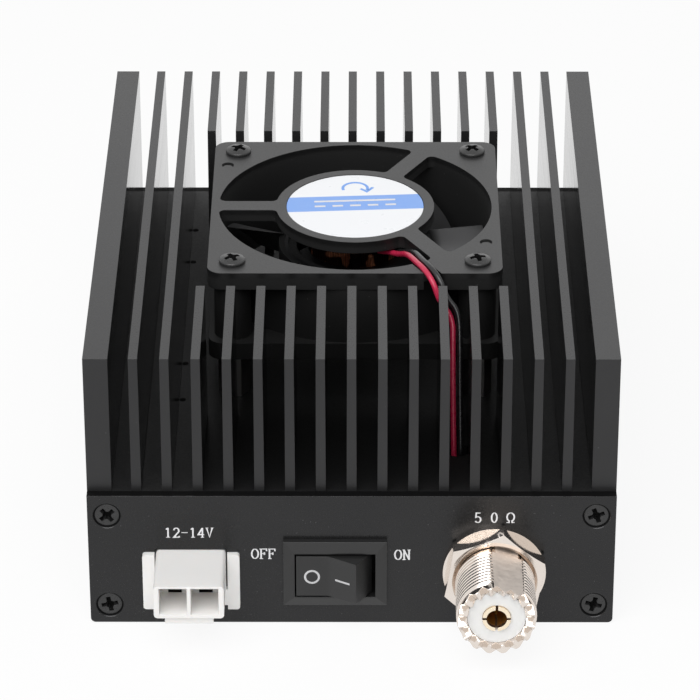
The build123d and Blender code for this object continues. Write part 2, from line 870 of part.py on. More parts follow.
def power_socket_housing():
    half = power_width / 2
    rear = panel_thickness + power_rear
    body = block(-half, half, -power_reach, rear, power_bottom, power_top)
    body = fillet(body.edges().filter_by(Axis.Y), power_corner)
    body += power_flange()
    tab_half = power_tab_width / 2
    tab_front = -power_reach + power_tab_setback
    body += block(-tab_half, tab_half, tab_front, tab_front + power_tab_length,
                  power_bottom - power_tab_thickness, power_bottom + power_cell_wall_bottom / 2)
    catch_end = panel_thickness + power_catch_length
    hook = [(0, panel_thickness), (power_catch, panel_thickness), (0, catch_end)]
    catch = make_face(Polyline(*hook, close=True))
    wedge = extrude(catch, amount=power_top - power_bottom - 2 * power_corner)
    wedge = Pos(half, 0, power_bottom + power_corner) * wedge
    body += wedge
    body += mirror(wedge, Plane.YZ)
    floor = power_bottom + power_cell_wall_bottom
    slot_foot = floor + contact_slot_rise
    cell_back = -power_reach + power_cell_depth
    for x in power_cells():
        cell_half = power_cell_width / 2
        body -= block(x - cell_half, x + cell_half, -power_reach - overrun, cell_back,
                      floor, power_top - power_cell_wall_top)
        slot_half = contact_slot_width / 2
        body -= block(x - slot_half, x + slot_half, -power_reach, rear + overrun,
                      slot_foot, slot_foot + contact_slot_height)
    return on_front(body, power_x, 0)


def power_socket_contacts():
    """Folded sheet contacts in the slots behind the cells, each with a tail to solder."""
    floor = power_bottom + power_cell_wall_bottom + contact_slot_rise + seat_gap
    half = contact_slot_width / 2 - seat_gap
    height = contact_slot_height - 2 * seat_gap
    front = -power_reach + power_cell_depth + contact_setback
    rear = panel_thickness + power_rear
    contacts = []
    for x in power_cells():
        sleeve = block(x - half, x + half, front, rear, floor, floor + height)
        sleeve -= block(x - half + contact_sheet, x + half - contact_sheet, front - overrun, rear + overrun,
                        floor + contact_sheet, floor + height - contact_sheet)
        tail_half = contact_tail_width / 2
        sleeve += block(x - tail_half, x + tail_half, rear - contact_tail_lap, rear + contact_tail_length,
                        floor, floor + contact_sheet)
        contacts.append(on_front(sleeve, power_x, 0))
    return Compound(children=contacts)


# Rocker switch, made about its middle with the panel's outer face at y = 0


def terminal_places():
    """The x places of the two blades."""
    return [-terminal_pitch / 2, terminal_pitch / 2]


def switch_bezel():
    """Plate on the panel whose four sides slope up to a narrow land round the window."""
    outer = Plane.XZ * Rectangle(bezel_width, bezel_height)
    land_width = switch_window_width + 2 * bezel_land
    land_height = switch_window_height + 2 * bezel_land
    land = Plane.XZ * Rectangle(land_width, land_height)
    slopes = loft([Pos(0, -bezel_edge, 0) * outer, Pos(0, -bezel_thickness, 0) * land])
    return extrude(outer, amount=bezel_edge) + slopes


def switch_housing():
    half_x = switch_body_width / 2
    half_z = switch_body_height / 2
    housing = switch_bezel() + block(-half_x, half_x, 0, switch_body_depth, -half_z, half_z)
    catch_end = panel_thickness + switch_catch_length
    hook = [(panel_thickness, 0), (panel_thickness, switch_catch), (catch_end, 0)]
    catch = make_face(Polyline(*hook, close=True))
    wedge = Pos(0, 0, half_z) * extrude(Plane.YZ * catch, amount=switch_catch_width / 2, both=True)
    housing += wedge
    housing += mirror(wedge, Plane.XY)
    half_x = switch_window_width / 2
    half_z = switch_window_height / 2
    housing -= block(-half_x, half_x, -bezel_thickness - overrun, overrun, -half_z, half_z)
    half_x = switch_room_width / 2
    half_z = switch_room_height / 2
    housing -= block(-half_x, half_x, 0, switch_room_depth, -half_z, half_z)
    pin = pivot_d + 2 * pivot_clearance
    housing -= rod_z(pin, -switch_body_height, switch_body_height, 0, pivot_y)
    half_x = terminal_width / 2 + seat_gap
    half_z = terminal_thickness / 2 + seat_gap
    for x in terminal_places():
        housing -= block(x - half_z, x + half_z, switch_room_depth - overrun, switch_body_depth + overrun,
                         -half_x, half_x)
    return on_front(housing, switch_x, switch_z)


def switch_rocker():
    """Rocker with two facets that meet in a shallow fold, turned to its off position."""
    angle = math.radians(rocker_half_angle)
    tip_x = rocker_facet * math.cos(angle)
    tip_y = -rocker_pivot_depth - rocker_facet * math.sin(angle)
    keel = rocker_keel_width / 2
    right = [(tip_x, tip_y), (rocker_foot_x, -rocker_foot_y), (rocker_heel_x, rocker_heel_y),
             (keel, rocker_heel_y), (keel, rocker_keel_depth)]
    left = [(-x, y) for x, y in reversed(right)]
    outline = make_face(Polyline((0, -rocker_pivot_depth), *right, *left, close=True))
    outline = fillet(outline.vertices().sort_by_distance((0, -rocker_pivot_depth))[0], rocker_fold_r)
    body = extrude(outline, amount=rocker_height / 2, both=True)
    reach = rocker_height / 2 + pivot_length
    body += rod_z(pivot_d, -reach, reach)
    body = Pos(0, pivot_y, 0) * Rot(0, 0, -rocker_half_angle) * body
    return on_front(body, switch_x, switch_z)


def switch_terminals():
    half = terminal_width / 2
    thick = terminal_thickness / 2
    front = switch_room_depth + terminal_root
    rear = switch_body_depth + terminal_reach
    blades = []
    for x in terminal_places():
        blade = block(x - thick, x + thick, front, rear, -half, half)
        blade = chamfer(blade.edges().filter_by(Axis.X).sort_by(Axis.Y)[-2:], half / 2)
        hole = Pos(x, rear - half, 0) * Rot(0, 90, 0) * Cylinder(terminal_hole_d / 2, terminal_width)
        blades.append(on_front(blade - hole, switch_x, switch_z))
    return Compound(children=blades)


# Circuit board and what hangs from it


def amplifier_board():
    half_x = board_width / 2
    half_y = board_length / 2
    board = block(-half_x, half_x, -half_y, half_y, board_bottom, base_bottom)
    for x, y in board_screw_places():
        board -= rod_z(board_screw_d + 2 * push_gap, board_bottom - overrun, base_bottom + overrun, x, y)
    half_x = transistor_flange_length / 2 + push_gap
    half_y = transistor_flange_width / 2 + push_gap
    board -= block(-half_x, half_x, transistor_y - half_y, transistor_y + half_y,
                   board_bottom - overrun, base_bottom + overrun)
    return board


def hung_screw(x, y, seat):
    """Pan-head screw driven upwards, its head under the seat."""
    head = board_screw_head / 2
    shank = board_screw_d / 2
    foot = seat - board_screw_head_height
    tip = base_bottom + board_screw_bite
    profile = [(0, foot), (head, foot), (head, seat), (shank, seat), (shank, tip), (0, tip)]
    return Pos(x, y, 0) * turned_z(profile)


def board_screws():
    return Compound(children=[hung_screw(x, y, board_bottom) for x, y in board_screw_places()])


def transistor_screws():
    seat = base_bottom - transistor_flange_thickness
    return Compound(children=[hung_screw(x, y, seat) for x, y in transistor_screw_places()])


def rf_transistor():
    """Flanged power transistor against the base, its leads on the board's underside."""
    half = transistor_flange_length / 2
    wide = transistor_flange_width / 2
    seat = base_bottom - transistor_flange_thickness
    body = block(-half, half, -wide, wide, seat, base_bottom)
    for x, _ in transistor_screw_places():
        body -= rod_z(board_screw_d + 2 * push_gap, seat - overrun, base_bottom + overrun, x, 0)
    cap = transistor_cap_length / 2 - board_screw_d / 2
    cap_wide = transistor_cap_width / 2
    body += block(-cap, cap, -cap_wide, cap_wide, seat - transistor_cap_height, seat)
    lead_half = transistor_lead_width / 2
    lead_top = board_bottom
    reach = wide + transistor_lead_length
    body += block(-lead_half, lead_half, -reach, reach, lead_top - transistor_lead_thickness, lead_top)
    return Pos(0, transistor_y, 0) * body


def output_transformer():
    """Two-hole ferrite core."""
    half = transformer_length / 2
    wide = transformer_width / 2
    core = block(-wide, wide, -half, half, board_bottom - transformer_height, board_bottom)
    core = fillet(core.edges().filter_by(Axis.Y), transformer_height / 4)
    for side in (-1, 1):
        core -= rod_y(transformer_hole_d, -half - overrun, half + overrun,
                      side * transformer_hole_spacing / 2, board_bottom - transformer_height / 2)
    return Pos(0, transformer_along_share * board_length, 0) * core


def antenna_relay():
    half = relay_length / 2
    wide = relay_width / 2
    case = block(-wide, wide, -half, half, board_bottom - relay_height, board_bottom)
    case = fillet(case.edges().filter_by(Axis.Z), relay_corner)
    return Pos(relay_across_share * board_width, relay_along_share * board_length, 0) * case


def filter_coils():
    """Toroid cores of the output filter."""
    inner = toroid_hole_d / 2
    outer = toroid_d / 2
    top = board_bottom
    foot = top - toroid_height
    ring = turned_z([(inner, foot + toroid_edge), (inner + toroid_edge, foot), (outer - toroid_edge, foot),
                     (outer, foot + toroid_edge), (outer, top), (inner, top)])
    x = toroid_across_share * board_width
    first = toroid_first_share * board_length
    rings = [Pos(x, first + number * toroid_pitch, 0) * ring for number in range(toroid_count)]
    return Compound(children=rings)


def supply_capacitor():
    """Can laid under the board, with the crimp near its base."""
    radius = capacitor_d / 2
    half = capacitor_length / 2
    crimp = half - capacitor_groove_setback
    can = turned_y([(0, -half), (radius, -half), (radius, crimp - capacitor_groove),
                    (radius - capacitor_groove, crimp), (radius, crimp + capacitor_groove),
                    (radius, half), (0, half)])
    x = capacitor_across_share * board_width
    y = capacitor_along_share * board_length
    return Pos(x, y, board_bottom - seat_gap - radius) * can


def socket_strap():
    """Copper strip from a socket's solder tail up to the board, in the socket's own frame."""
    half = strap_width / 2
    front = socket_rear() + solder_tail
    top = board_bottom - socket_z
    strip = block(-half, half, front, front + strap_thickness, -strap_below, top)
    strip += block(-half, half, front, front + strap_foot, top - strap_thickness, top)
    return strip


def export(name, solid):
    """One file for each node."""
    export_step(solid, os.path.join("parts", name + ".step"))


def main():
    os.makedirs("parts", exist_ok=True)
    makers = [heat_sink, bottom_tray, front_panel, rear_panel, panel_screws,
              fan_frame, fan_label, fan_standoffs, fan_screws, fan_bearing_tube, fan_bearing,
              fan_circuit_board, fan_stator_core, fan_coils, fan_impeller, fan_rotor_yoke,
              fan_magnet_ring, fan_shaft, fan_clip, fan_lead_red, fan_lead_black,
              power_socket_housing, power_socket_contacts,
              switch_housing, switch_rocker, switch_terminals,
              amplifier_board, board_screws, transistor_screws, rf_transistor, output_transformer,
              antenna_relay, filter_coils, supply_capacitor]
    for maker in makers:
        export(maker.__name__, maker())
    for maker in (socket_shell, socket_insulator, socket_contact, socket_nut, socket_washer, socket_strap):
        piece = maker()
        export("antenna_" + maker.__name__, on_front(piece, antenna_x, socket_z))
        export("input_" + maker.__name__, on_rear(piece, input_x, socket_z))


main()
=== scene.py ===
import json
import math

import bmesh
import bpy
from mathutils import Matrix, Vector


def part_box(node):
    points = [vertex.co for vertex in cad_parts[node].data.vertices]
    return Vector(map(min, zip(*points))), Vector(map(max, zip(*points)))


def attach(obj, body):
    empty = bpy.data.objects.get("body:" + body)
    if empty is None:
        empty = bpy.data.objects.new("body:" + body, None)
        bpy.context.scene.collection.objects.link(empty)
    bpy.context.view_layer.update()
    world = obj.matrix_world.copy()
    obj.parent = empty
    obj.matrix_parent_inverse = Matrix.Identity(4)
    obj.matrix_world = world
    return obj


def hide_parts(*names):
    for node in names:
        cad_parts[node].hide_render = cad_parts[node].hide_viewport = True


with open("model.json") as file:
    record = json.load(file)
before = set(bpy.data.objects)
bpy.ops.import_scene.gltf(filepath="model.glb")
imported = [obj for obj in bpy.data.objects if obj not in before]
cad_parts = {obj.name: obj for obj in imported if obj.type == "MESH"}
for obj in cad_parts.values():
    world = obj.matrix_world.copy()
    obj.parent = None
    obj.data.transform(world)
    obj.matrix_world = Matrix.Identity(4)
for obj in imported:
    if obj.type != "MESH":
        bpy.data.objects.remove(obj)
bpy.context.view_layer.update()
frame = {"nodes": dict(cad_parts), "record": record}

# Metres, in the part's own frame: +Z up, the front panel faces -Y.

# Camera, at the photograph's place
camera_place = (0.00159, -0.74984, 0.44441)
camera_pitch = 0.50993
camera_yaw = 0.00277
camera_roll = 0.00062
focal_pixels = 4032.8
photo_pixels = 700
sensor_width_mm = 36.0

# Rounding of the edges that machining and moulding leave, in the shading alone
fine_edge = 0.00005
cast_edge = 0.00012
edge_samples = 4

# Edges of made meshes that are steeper than this stay sharp
smooth_angle = math.radians(35)

# Fan leads, close to the wires of the model
wire_d = 0.0012
wire_smoothness = 12
wire_roundness = 6
wire_order = 3
red_route = [
    (0.0055, -0.0114, 0.0549),
    (0.0075, -0.0128, 0.0555),
    (0.0095, -0.0159, 0.0565),
    (0.0113, -0.0196, 0.0586),
    (0.0130, -0.0247, 0.0595),
    (0.0149, -0.0293, 0.0599),
    (0.0165, -0.0322, 0.0586),
    (0.0177, -0.0332, 0.0549),
    (0.0204, -0.0346, 0.0519),
    (0.0204, -0.0382, 0.0474),
    (0.0204, -0.0423, 0.0406),
    (0.0205, -0.0468, 0.0330),
    (0.0206, -0.0492, 0.0280),
    (0.0207, -0.0495, 0.0219),
]
black_route = [
    (0.0069, -0.0106, 0.0547),
    (0.0089, -0.0121, 0.0555),
    (0.0109, -0.0152, 0.0565),
    (0.0128, -0.0190, 0.0588),
    (0.0142, -0.0243, 0.0598),
    (0.0161, -0.0288, 0.0602),
    (0.0179, -0.0319, 0.0590),
    (0.0191, -0.0329, 0.0557),
    (0.0216, -0.0344, 0.0532),
    (0.0218, -0.0380, 0.0480),
    (0.0218, -0.0422, 0.0408),
    (0.0219, -0.0468, 0.0330),
    (0.0220, -0.0492, 0.0280),
    (0.0220, -0.0495, 0.0219),
]

# Threaded shells of the RF sockets, about their axis with the panel's outer face at y = 0
thread_r = 0.00794
thread_pitch = 0.001058
thread_depth = 0.0003
thread_crest_share = 0.42
thread_root_share = 0.2
shell_segments = 144
shell_reach = 0.0186
shell_lead = 0.0003
shell_neck_y = -0.0046
shell_rear = 0.0076
shell_bore_r = 0.0058
neck_r = 0.0074
rim_edge = 0.0001
# Depth over which the bores of the contact and the insulator darken, with tarnish and painted shade
bore_tarnish_and_shade_depth = 0.0012
tooth_count = 16
tooth_depth = 0.0014
tooth_half_width = 0.0011
flat_depth = 0.001
flat_turn = math.radians(18)
flat_lean_share = 0.5
flat_tolerance = 0.000002
panel_thickness = 0.002
flange_r = 0.0088
flange_thickness = 0.0016
tail_r = 0.0067

# Screws with a cross recess
head_segments = 48
rim_steps = 4
crown_shares = (0.75, 0.5, 0.25, 0.0)
recess_half_span = 0.00172
recess_half_width = 0.00046
recess_corner = 0.0003
recess_depth = 0.0013
recess_foot_share = 0.7
recess_edge = 0.00004
recess_edge_segments = 2
# Depth in a cross recess from which its faces get painted shade
recess_shade_from = 0.0004
screw_shank_r = 0.0015
sunk_head_r = 0.0025
sunk_head_bend = 0.0002
sunk_head_crown = 0.00015
sunk_head_length = 0.0115
pan_head_r = 0.0027
pan_head_height = 0.0013
pan_head_bend = 0.0003
pan_shoulder_share = 0.6
panel_screw_turns = (12, 40, 75, 20, 65, 33, 8, 50)
fan_screw_turns = (28, 62, 15, 48)

# Print on the panel, the rocker and the label
ink_height = 0.00003
ink_sunk = 0.00001
layer_share = 0.05
stroke_share = 0.14
hair_share = 0.065
mitre_share = 0.4
closing_share = 0.01
arc_steps = 24
sign_height = 0.0024
switch_sign_pitch = 0.00168
off_corner = (-0.0201, 0.0150)
on_corner = (0.00846, 0.0148)
supply_corner = (-0.0373, 0.0200)
supply_sign_height = 0.0023
supply_sign_pitch = 0.00165
antenna_corner = (0.0243, 0.0235)
antenna_sign_pitch = 0.0032
ring_mark_place = (-0.00791, 0.01209)
ring_mark_r = 0.0014
bar_mark_start = 0.0016
bar_mark_end = 0.0049
bar_mark_z = 0.01186
rocker_mark_width = 0.00042
rocker_fold_x = -0.004653
rocker_lean = math.radians(30)
rocker_proud = 0.00015

# Finishes: noise in cells to the metre, relief in metres
noise_low = 0.3
noise_high = 0.7
square_from = 0.5
square_full = 0.9
dot_core_share = 0.6
spot_core_share = 0.88
blue_share = 1.02
dust_level = 0.16
shade_rough = 0.8
shade_gleam = 0.2
coat_grain = 2600
mould_grain = 2200
metal_marks = 2200
flow_marks = 90
coat_relief = 0.000012
mould_relief = 0.00001
metal_relief = 0.000004

# How far the painted shade, and the duller finish that goes with some of it, reaches: below a top,
# behind a face, up from the seam and out past the hub
rim_depth = 0.0008
face_depth = 0.0001
seam_height = 0.00015
hub_shade_reach = 0.0035

# Painted shade at the power contacts: thin dark strips on the wall that ends each cell
contact_setback = 0.0001
slot_shade_half_width = 0.00135
slot_shade_bottom = 0.01063
slot_shade_top = 0.01125

# Label on the fan's hub, and the painted shade of the mould's marks on its frame
band_rise = 0.0014
band_turn = math.radians(3.7)
band_half_height = 0.0033
band_blur = 0.00008
arrow_r = 0.0026
arrow_rise = 0.0082
arrow_from = 200
arrow_to = -20
arrow_width = 0.0006
arrow_head = 0.0013
current_half_width = 0.0085
current_line = 0.0011
current_width = 0.0007
current_dashes = 5
current_dash_share = 0.6
mould_marks = ((-0.0265, 0.0184), (0.0275, -0.01675))
mould_mark_r = 0.00105
mould_shade_width = 0.0011
mould_shade_end = 15

# Painted shade of small drilled holes in a channel's floor
drill_x = -0.0349
drill_rows = (0.0464, 0.0313, -0.0140, -0.0292)
drill_r = 0.00065
channel_floor_z = 0.0296

# Light
world_light = 0.32
key_power = 12.5
key_size = 1.2
key_place = (-0.2, -0.65, 0.95)
back_power = 0.6
back_size = 0.8
back_place = (0.1, 1.2, 0.4)
light_target = (0, 0, 0.03)
floor_size = 6.0
floor_glow_share = 0.9
floor_white = 0.92
floor_gap = 0.0002


# Finishes


def grey(level):
    """A grey that leans a little to blue."""
    return (level, level, level * blue_share)


class Look:
    """A material's node tree, with a short call for each kind of node that the finishes share."""

    def __init__(self, name, color, roughness, metallic=0.0, specular=0.5, edge=fine_edge):
        self.edge = edge
        self.material = bpy.data.materials.new(name)
        self.material.use_nodes = True
        self.tree = self.material.node_tree
        self.shader = self.tree.nodes["Principled BSDF"]
        self.set("Base Color", (*color, 1.0))
        self.set("Roughness", roughness)
        self.set("Metallic", metallic)
        self.set("Specular IOR Level", specular)

    def set(self, name, value):
        self.shader.inputs[name].default_value = value

    def drive(self, name, socket):
        self.tree.links.new(socket, self.shader.inputs[name])

    def make(self, kind, values, **settings):
        """New node, with a value or a link for each socket named."""
        made = self.tree.nodes.new(kind)
        for key, value in settings.items():
            setattr(made, key, value)
        for key, value in values.items():
            if isinstance(value, bpy.types.NodeSocket):
                self.tree.links.new(value, made.inputs[key])
            else:
                made.inputs[key].default_value = value
        return made

    def mapped(self, vector, **change):
        """A vector, changed as the sockets of a mapping node say."""
        return self.make("ShaderNodeMapping", {"Vector": vector, **change}).outputs["Vector"]

    def place(self, **change):
        """Object coordinates in metres, changed in the same way."""
        coordinates = self.make("ShaderNodeTexCoord", {}).outputs["Object"]
        return self.mapped(coordinates, **change)

    def part(self, vector, axis):
        """One coordinate of a vector, without its sign."""
        value = self.make("ShaderNodeSeparateXYZ", {"Vector": vector}).outputs[axis]
        return self.make("ShaderNodeMath", {0: value}, operation="ABSOLUTE").outputs["Value"]

    def away(self, axis):
        """Distance from the frame's origin along one axis."""
        return self.part(self.place(), axis)

    def facing(self, axis):
        """1 where the surface faces squarely along one axis, either way, and 0 where it doesn't."""
        normal = self.make("ShaderNodeTexCoord", {}).outputs["Normal"]
        return self.rise(self.part(normal, axis), square_from, square_full)

    def noise(self, scale, detail=2.0, stretch=(1, 1, 1)):
        """Soft noise, with so many cells to the metre."""
        values = {"Vector": self.place(Scale=stretch), "Scale": scale, "Detail": detail}
        return self.make("ShaderNodeTexNoise", values).outputs["Fac"]

    def specks(self, scale, share):
        """Sparse round dots: 1 inside a dot and 0 between them."""
        values = {"Vector": self.place(), "Scale": scale}
        distance = self.make("ShaderNodeTexVoronoi", values).outputs["Distance"]
        return self.fall(distance, share * dot_core_share, share)

    def below(self, top):
        """1 well under a height and 0 at it."""
        return self.fall(self.away("Z"), top - 2 * rim_depth, top - rim_depth)

    def outwards(self, front):
        """1 at the front of a piece of the RF sockets and 0 down in its bore."""
        return self.rise(self.away("Y"), front - bore_tarnish_and_shade_depth, front - rim_edge)

    def spot(self, x, y, radius):
        """A round spot seen from above: 1 inside it and 0 around it."""
        about = self.place(Scale=(1, 1, 0), Location=(-x, -y, 0))
        reach = self.make("ShaderNodeVectorMath", {0: about}, operation="LENGTH").outputs["Value"]
        return self.fall(reach, radius * spot_core_share, radius)

    def ramp(self, value, low, high, first, last):
        """Number that goes from the first to the last while the value goes from low to high."""
        values = {"Value": value, "From Min": low, "From Max": high,
                  "To Min": first, "To Max": last}
        return self.make("ShaderNodeMapRange", values).outputs["Result"]

    def rise(self, value, low, high):
        """0 up to the low and 1 from the high."""
        return self.ramp(value, low, high, 0.0, 1.0)

    def fall(self, value, low, high):
        """1 up to the low and 0 from the high."""
        return self.ramp(value, low, high, 1.0, 0.0)

    def spread(self, noise, first, last):
        """Number that goes from the first to the last over the usual range of a noise."""
        return self.ramp(noise, noise_low, noise_high, first, last)

    def math(self, operation, first, second):
        made = self.make("ShaderNodeMath", {0: first, 1: second}, operation=operation)
        return made.outputs["Value"]

    def product(self, first, second):
        """One share of another."""
        return self.math("MULTIPLY", first, second)

    def inverse(self, share):
        """What a share leaves of 1."""
        return self.math("SUBTRACT", 1.0, share)

    def tint(self, factor, first, last):
        """Colour that goes from the first to the last with the factor."""
        values = {0: factor}
        for key, color in ((6, first), (7, last)):
            linked = isinstance(color, bpy.types.NodeSocket)
            values[key] = color if linked else (*color, 1.0)
        return self.make("ShaderNodeMix", values, data_type="RGBA").outputs[2]

    def greys(self, factor, first, last):
        """Grey that goes from the first level to the last with the factor."""
        return self.tint(factor, grey(first), grey(last))

    def blend(self, factor, first, last):
        """Number that goes from the first to the last with the factor."""
        return self.make("ShaderNodeMix", {0: factor, 2: first, 3: last}).outputs[0]

    def see_through(self, weight, radius):
        """Let light into the skin, to a depth for each of red, green and blue."""
        self.set("Subsurface Weight", weight)
        self.set("Subsurface Radius", radius)
        self.set("Subsurface Scale", 1.0)

    def skin(self, color, roughness, height, relief):
        """The material with its colour, roughness and relief, on edges that are a little round."""
        self.drive("Base Color", color)
        self.drive("Roughness", roughness)
        rounded = self.make("ShaderNodeBevel", {"Radius": self.edge}, samples=edge_samples)
        values = {"Height": height, "Distance": relief, "Normal": rounded.outputs["Normal"]}
        self.drive("Normal", self.make("ShaderNodeBump", values).outputs["Normal"])
        return self.material


def anodised_look():
    """Black anodised extrusion: satin tops, sawn ends and matt channels between drawn sides, with
    painted shade that darkens the channels and the fins' inner sides and dims their reflections,
    and a painted shadow line along the seam at the foot.
    """
    look = Look("black_anodised", grey(0.02), 0.3, specular=0.4, edge=cast_edge)
    lowest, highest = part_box("heat_sink")
    side = look.facing("X")
    end = look.facing("Y")
    # Masks for the painted shade: below the tops, inside the outer sides, a band at the foot of the
    # outer sides, and the channels' hidden faces
    deep = look.below(highest.z)
    outer = highest.x - face_depth
    inside = look.fall(look.away("X"), outer - face_depth, outer)
    low = look.fall(look.away("Z"), lowest.z + seam_height, lowest.z + 2 * seam_height)
    seam_shadow = look.product(low, look.inverse(inside))
    hidden = look.product(look.product(deep, inside), look.inverse(end))
    drawn = look.noise(2600, detail=3.0, stretch=(1, 0.012, 1))
    grain = look.noise(3800)
    cloud = look.noise(45, detail=3.0)
    dust = look.product(look.specks(320, 0.04), end)

    satin = look.greys(cloud, 0.007, 0.014)
    sawn = look.greys(cloud, 0.012, 0.021)
    # Painted shade: the channel floors and the fins' inner sides are darker than the tops and outer
    # sides, and the seam at the foot is a near-black painted shadow line
    channel = look.tint(side, look.tint(deep, satin, grey(0.004)), grey(0.002))
    color = look.tint(seam_shadow, look.tint(inside, satin, channel), grey(0.001))
    color = look.tint(dust, look.tint(end, color, sawn), grey(0.12))
    # Painted shade in the reflections: dimmed in the channels and nearly gone on the seam
    gleam_in_shade = look.greys(hidden, 1.0, 0.6)
    look.drive("Specular Tint", look.tint(seam_shadow, gleam_in_shade, grey(0.05)))

    satin_rough = look.spread(grain, 0.26, 0.36)
    floor_rough = look.spread(grain, 0.5, 0.62)
    side_rough = look.spread(drawn, look.blend(inside, 0.34, 0.08), look.blend(inside, 0.46, 0.14))
    sawn_rough = look.spread(grain, 0.34, 0.46)
    rough = look.blend(side, look.blend(deep, satin_rough, floor_rough), side_rough)
    lines = look.product(drawn, look.blend(side, 0.3, 0.03))
    relief = look.math("ADD", lines, look.product(grain, end))
    return look.skin(color, look.blend(end, rough, sawn_rough), relief, 0.00002)


def powder_coat_look(name, on_panel):
    """Smooth black paint with a few pale specks of dust, and painted shade in a panel's sunk holes,
    where it is also dull.
    """
    look = Look(name, grey(0.008), 0.24, specular=0.4, edge=cast_edge)
    grain = look.noise(coat_grain, detail=3.0)
    cloud = look.noise(60)
    dust = look.product(look.specks(520, 0.065), 0.4)
    color = look.tint(dust, look.greys(cloud, 0.005, 0.011), grey(dust_level))
    rough = look.spread(grain, 0.18, 0.3)
    if on_panel:
        face = abs(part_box("front_panel")[0].y)
        # Painted shade: faces sunk behind the panel's face are near-black and reflect little
        sunk = look.fall(look.away("Y"), face - 2 * face_depth, face - face_depth)
        color = look.tint(sunk, color, grey(0.002))
        rough = look.blend(sunk, rough, shade_rough)
        look.drive("Specular Tint", look.greys(sunk, 1.0, shade_gleam))
    return look.skin(color, rough, grain, coat_relief)


def fan_plastic_look():
    """Spark-eroded black plastic with a little dust, with painted shade on the faces that don't
    look up and deeper painted shade down in the duct, where it is also duller.
    """
    look = Look("black_fan_plastic", grey(0.022), 0.4, specular=0.45, edge=cast_edge)
    top = look.facing("Z")
    deep = look.below(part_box("fan_frame")[1].z)
    grain = look.noise(coat_grain)
    cloud = look.noise(flow_marks, detail=3.0)
    dust = look.product(look.specks(520, 0.06), 0.35)
    # Painted shade: only the faces that look up keep the lighter greys, and all down in the duct is
    # near-black
    face = look.tint(top, grey(0.005), look.greys(cloud, 0.02, 0.03))
    color = look.tint(dust, look.tint(deep, face, grey(0.003)), grey(dust_level))
    rough = look.blend(deep, look.spread(grain, 0.36, 0.48), 0.66)
    return look.skin(color, rough, grain, coat_relief)


def plastic_look(name, level, rough, scale=mould_grain, relief=mould_relief, specular=0.5):
    """Moulded plastic with a fine spark-eroded grain and slight flow marks."""
    look = Look(name, grey(level), rough[0], specular=specular, edge=cast_edge)
    grain = look.noise(scale)
    cloud = look.noise(flow_marks, detail=3.0)
    color = look.greys(cloud, level * 0.85, level * 1.15)
    return look.skin(color, look.spread(grain, *rough), grain, relief)


def impeller_look():
    """Moulded blades, with painted shade on the hub that carries them and on the blades' roots,
    where it is also dull.
    """
    look = Look("grey_fan_plastic", grey(0.03), 0.4, edge=cast_edge)
    lowest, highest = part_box("fan_rotor_yoke")
    centre = (lowest + highest) / 2
    # Painted shade: a near-black spot over the hub and the blades' roots
    hub = look.spot(centre.x, centre.y, (highest.x - lowest.x) / 2 + hub_shade_reach)
    grain = look.noise(mould_grain)
    cloud = look.noise(flow_marks, detail=3.0)
    color = look.tint(hub, look.greys(cloud, 0.025, 0.035), grey(0.003))
    rough = look.blend(hub, look.spread(grain, 0.36, 0.5), shade_rough)
    look.drive("Specular Tint", look.greys(hub, 1.0, shade_gleam))
    return look.skin(color, rough, grain, mould_relief)


def nylon_look():
    """Warm white nylon, slightly see-through."""
    look = Look("white_nylon", (0.84, 0.82, 0.79), 0.38, edge=cast_edge)
    look.see_through(0.2, (0.0015, 0.0012, 0.001))
    cloud = look.noise(140, detail=3.0)
    grain = look.noise(2400)
    color = look.tint(cloud, (0.86, 0.845, 0.825), (0.89, 0.877, 0.86))
    return look.skin(color, look.spread(grain, 0.33, 0.46), grain, 0.000006)


def metal_look(name, dark, light, rough, stretch=(1, 1, 1)):
    """Plated or bare metal with fine working marks and patches of handling."""
    look = Look(name, light, rough[0], metallic=1.0)
    marks = look.noise(metal_marks, detail=3.0, stretch=stretch)
    patches = look.noise(160, detail=3.0)
    color = look.tint(patches, dark, light)
    return look.skin(color, look.spread(marks, *rough), marks, metal_relief)


def gold_look():
    """Pale gold plating, dark brown and dull down in the bore of the contact, with tarnish and
    painted shade.
    """
    look = Look("gold_contact", (0.98, 0.86, 0.66), 0.16, metallic=1.0)
    outwards = look.outwards(abs(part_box("antenna_socket_contact")[0].y))
    marks = look.noise(metal_marks, detail=3.0)
    plating = look.tint(marks, (0.94, 0.80, 0.58), (1.0, 0.88, 0.7))
    # Partly tarnish and partly painted shade: dark brown down in the bore
    color = look.tint(outwards, (0.55, 0.28, 0.06), plating)
    rough = look.blend(outwards, 0.5, look.spread(marks, 0.14, 0.24))
    return look.skin(color, rough, marks, metal_relief)


def coated_look(name, dark, light, rough):
    """Coloured insulation, board or ferrite with a mottled skin."""
    look = Look(name, light, rough[0])
    mottle = look.noise(300, detail=3.0)
    grain = look.noise(1800)
    color = look.tint(mottle, dark, light)
    return look.skin(color, look.spread(grain, *rough), grain, 0.000008)


def copper_look():
    """Enamelled copper wire in close turns, in painted shade but for random patches of painted
    highlight where turns catch the light.
    """
    look = Look("copper", (0.1, 0.04, 0.02), 0.45, metallic=1.0)
    values = {"Vector": look.place(), "Scale": 900.0, "Distortion": 1.5}
    turns = look.make("ShaderNodeTexWave", values).outputs["Fac"]
    # Painted highlights in random patches, and painted shade on the rest of the coil
    bright = look.rise(look.noise(300, detail=1.0), 0.58, 0.66)
    dim = look.tint(turns, (0.008, 0.004, 0.003), (0.03, 0.013, 0.008))
    lit = look.tint(turns, (0.3, 0.1, 0.05), (0.8, 0.36, 0.2))
    rough = look.ramp(turns, 0.0, 1.0, 0.6, 0.4)
    return look.skin(look.tint(bright, dim, lit), rough, turns, 0.00008)


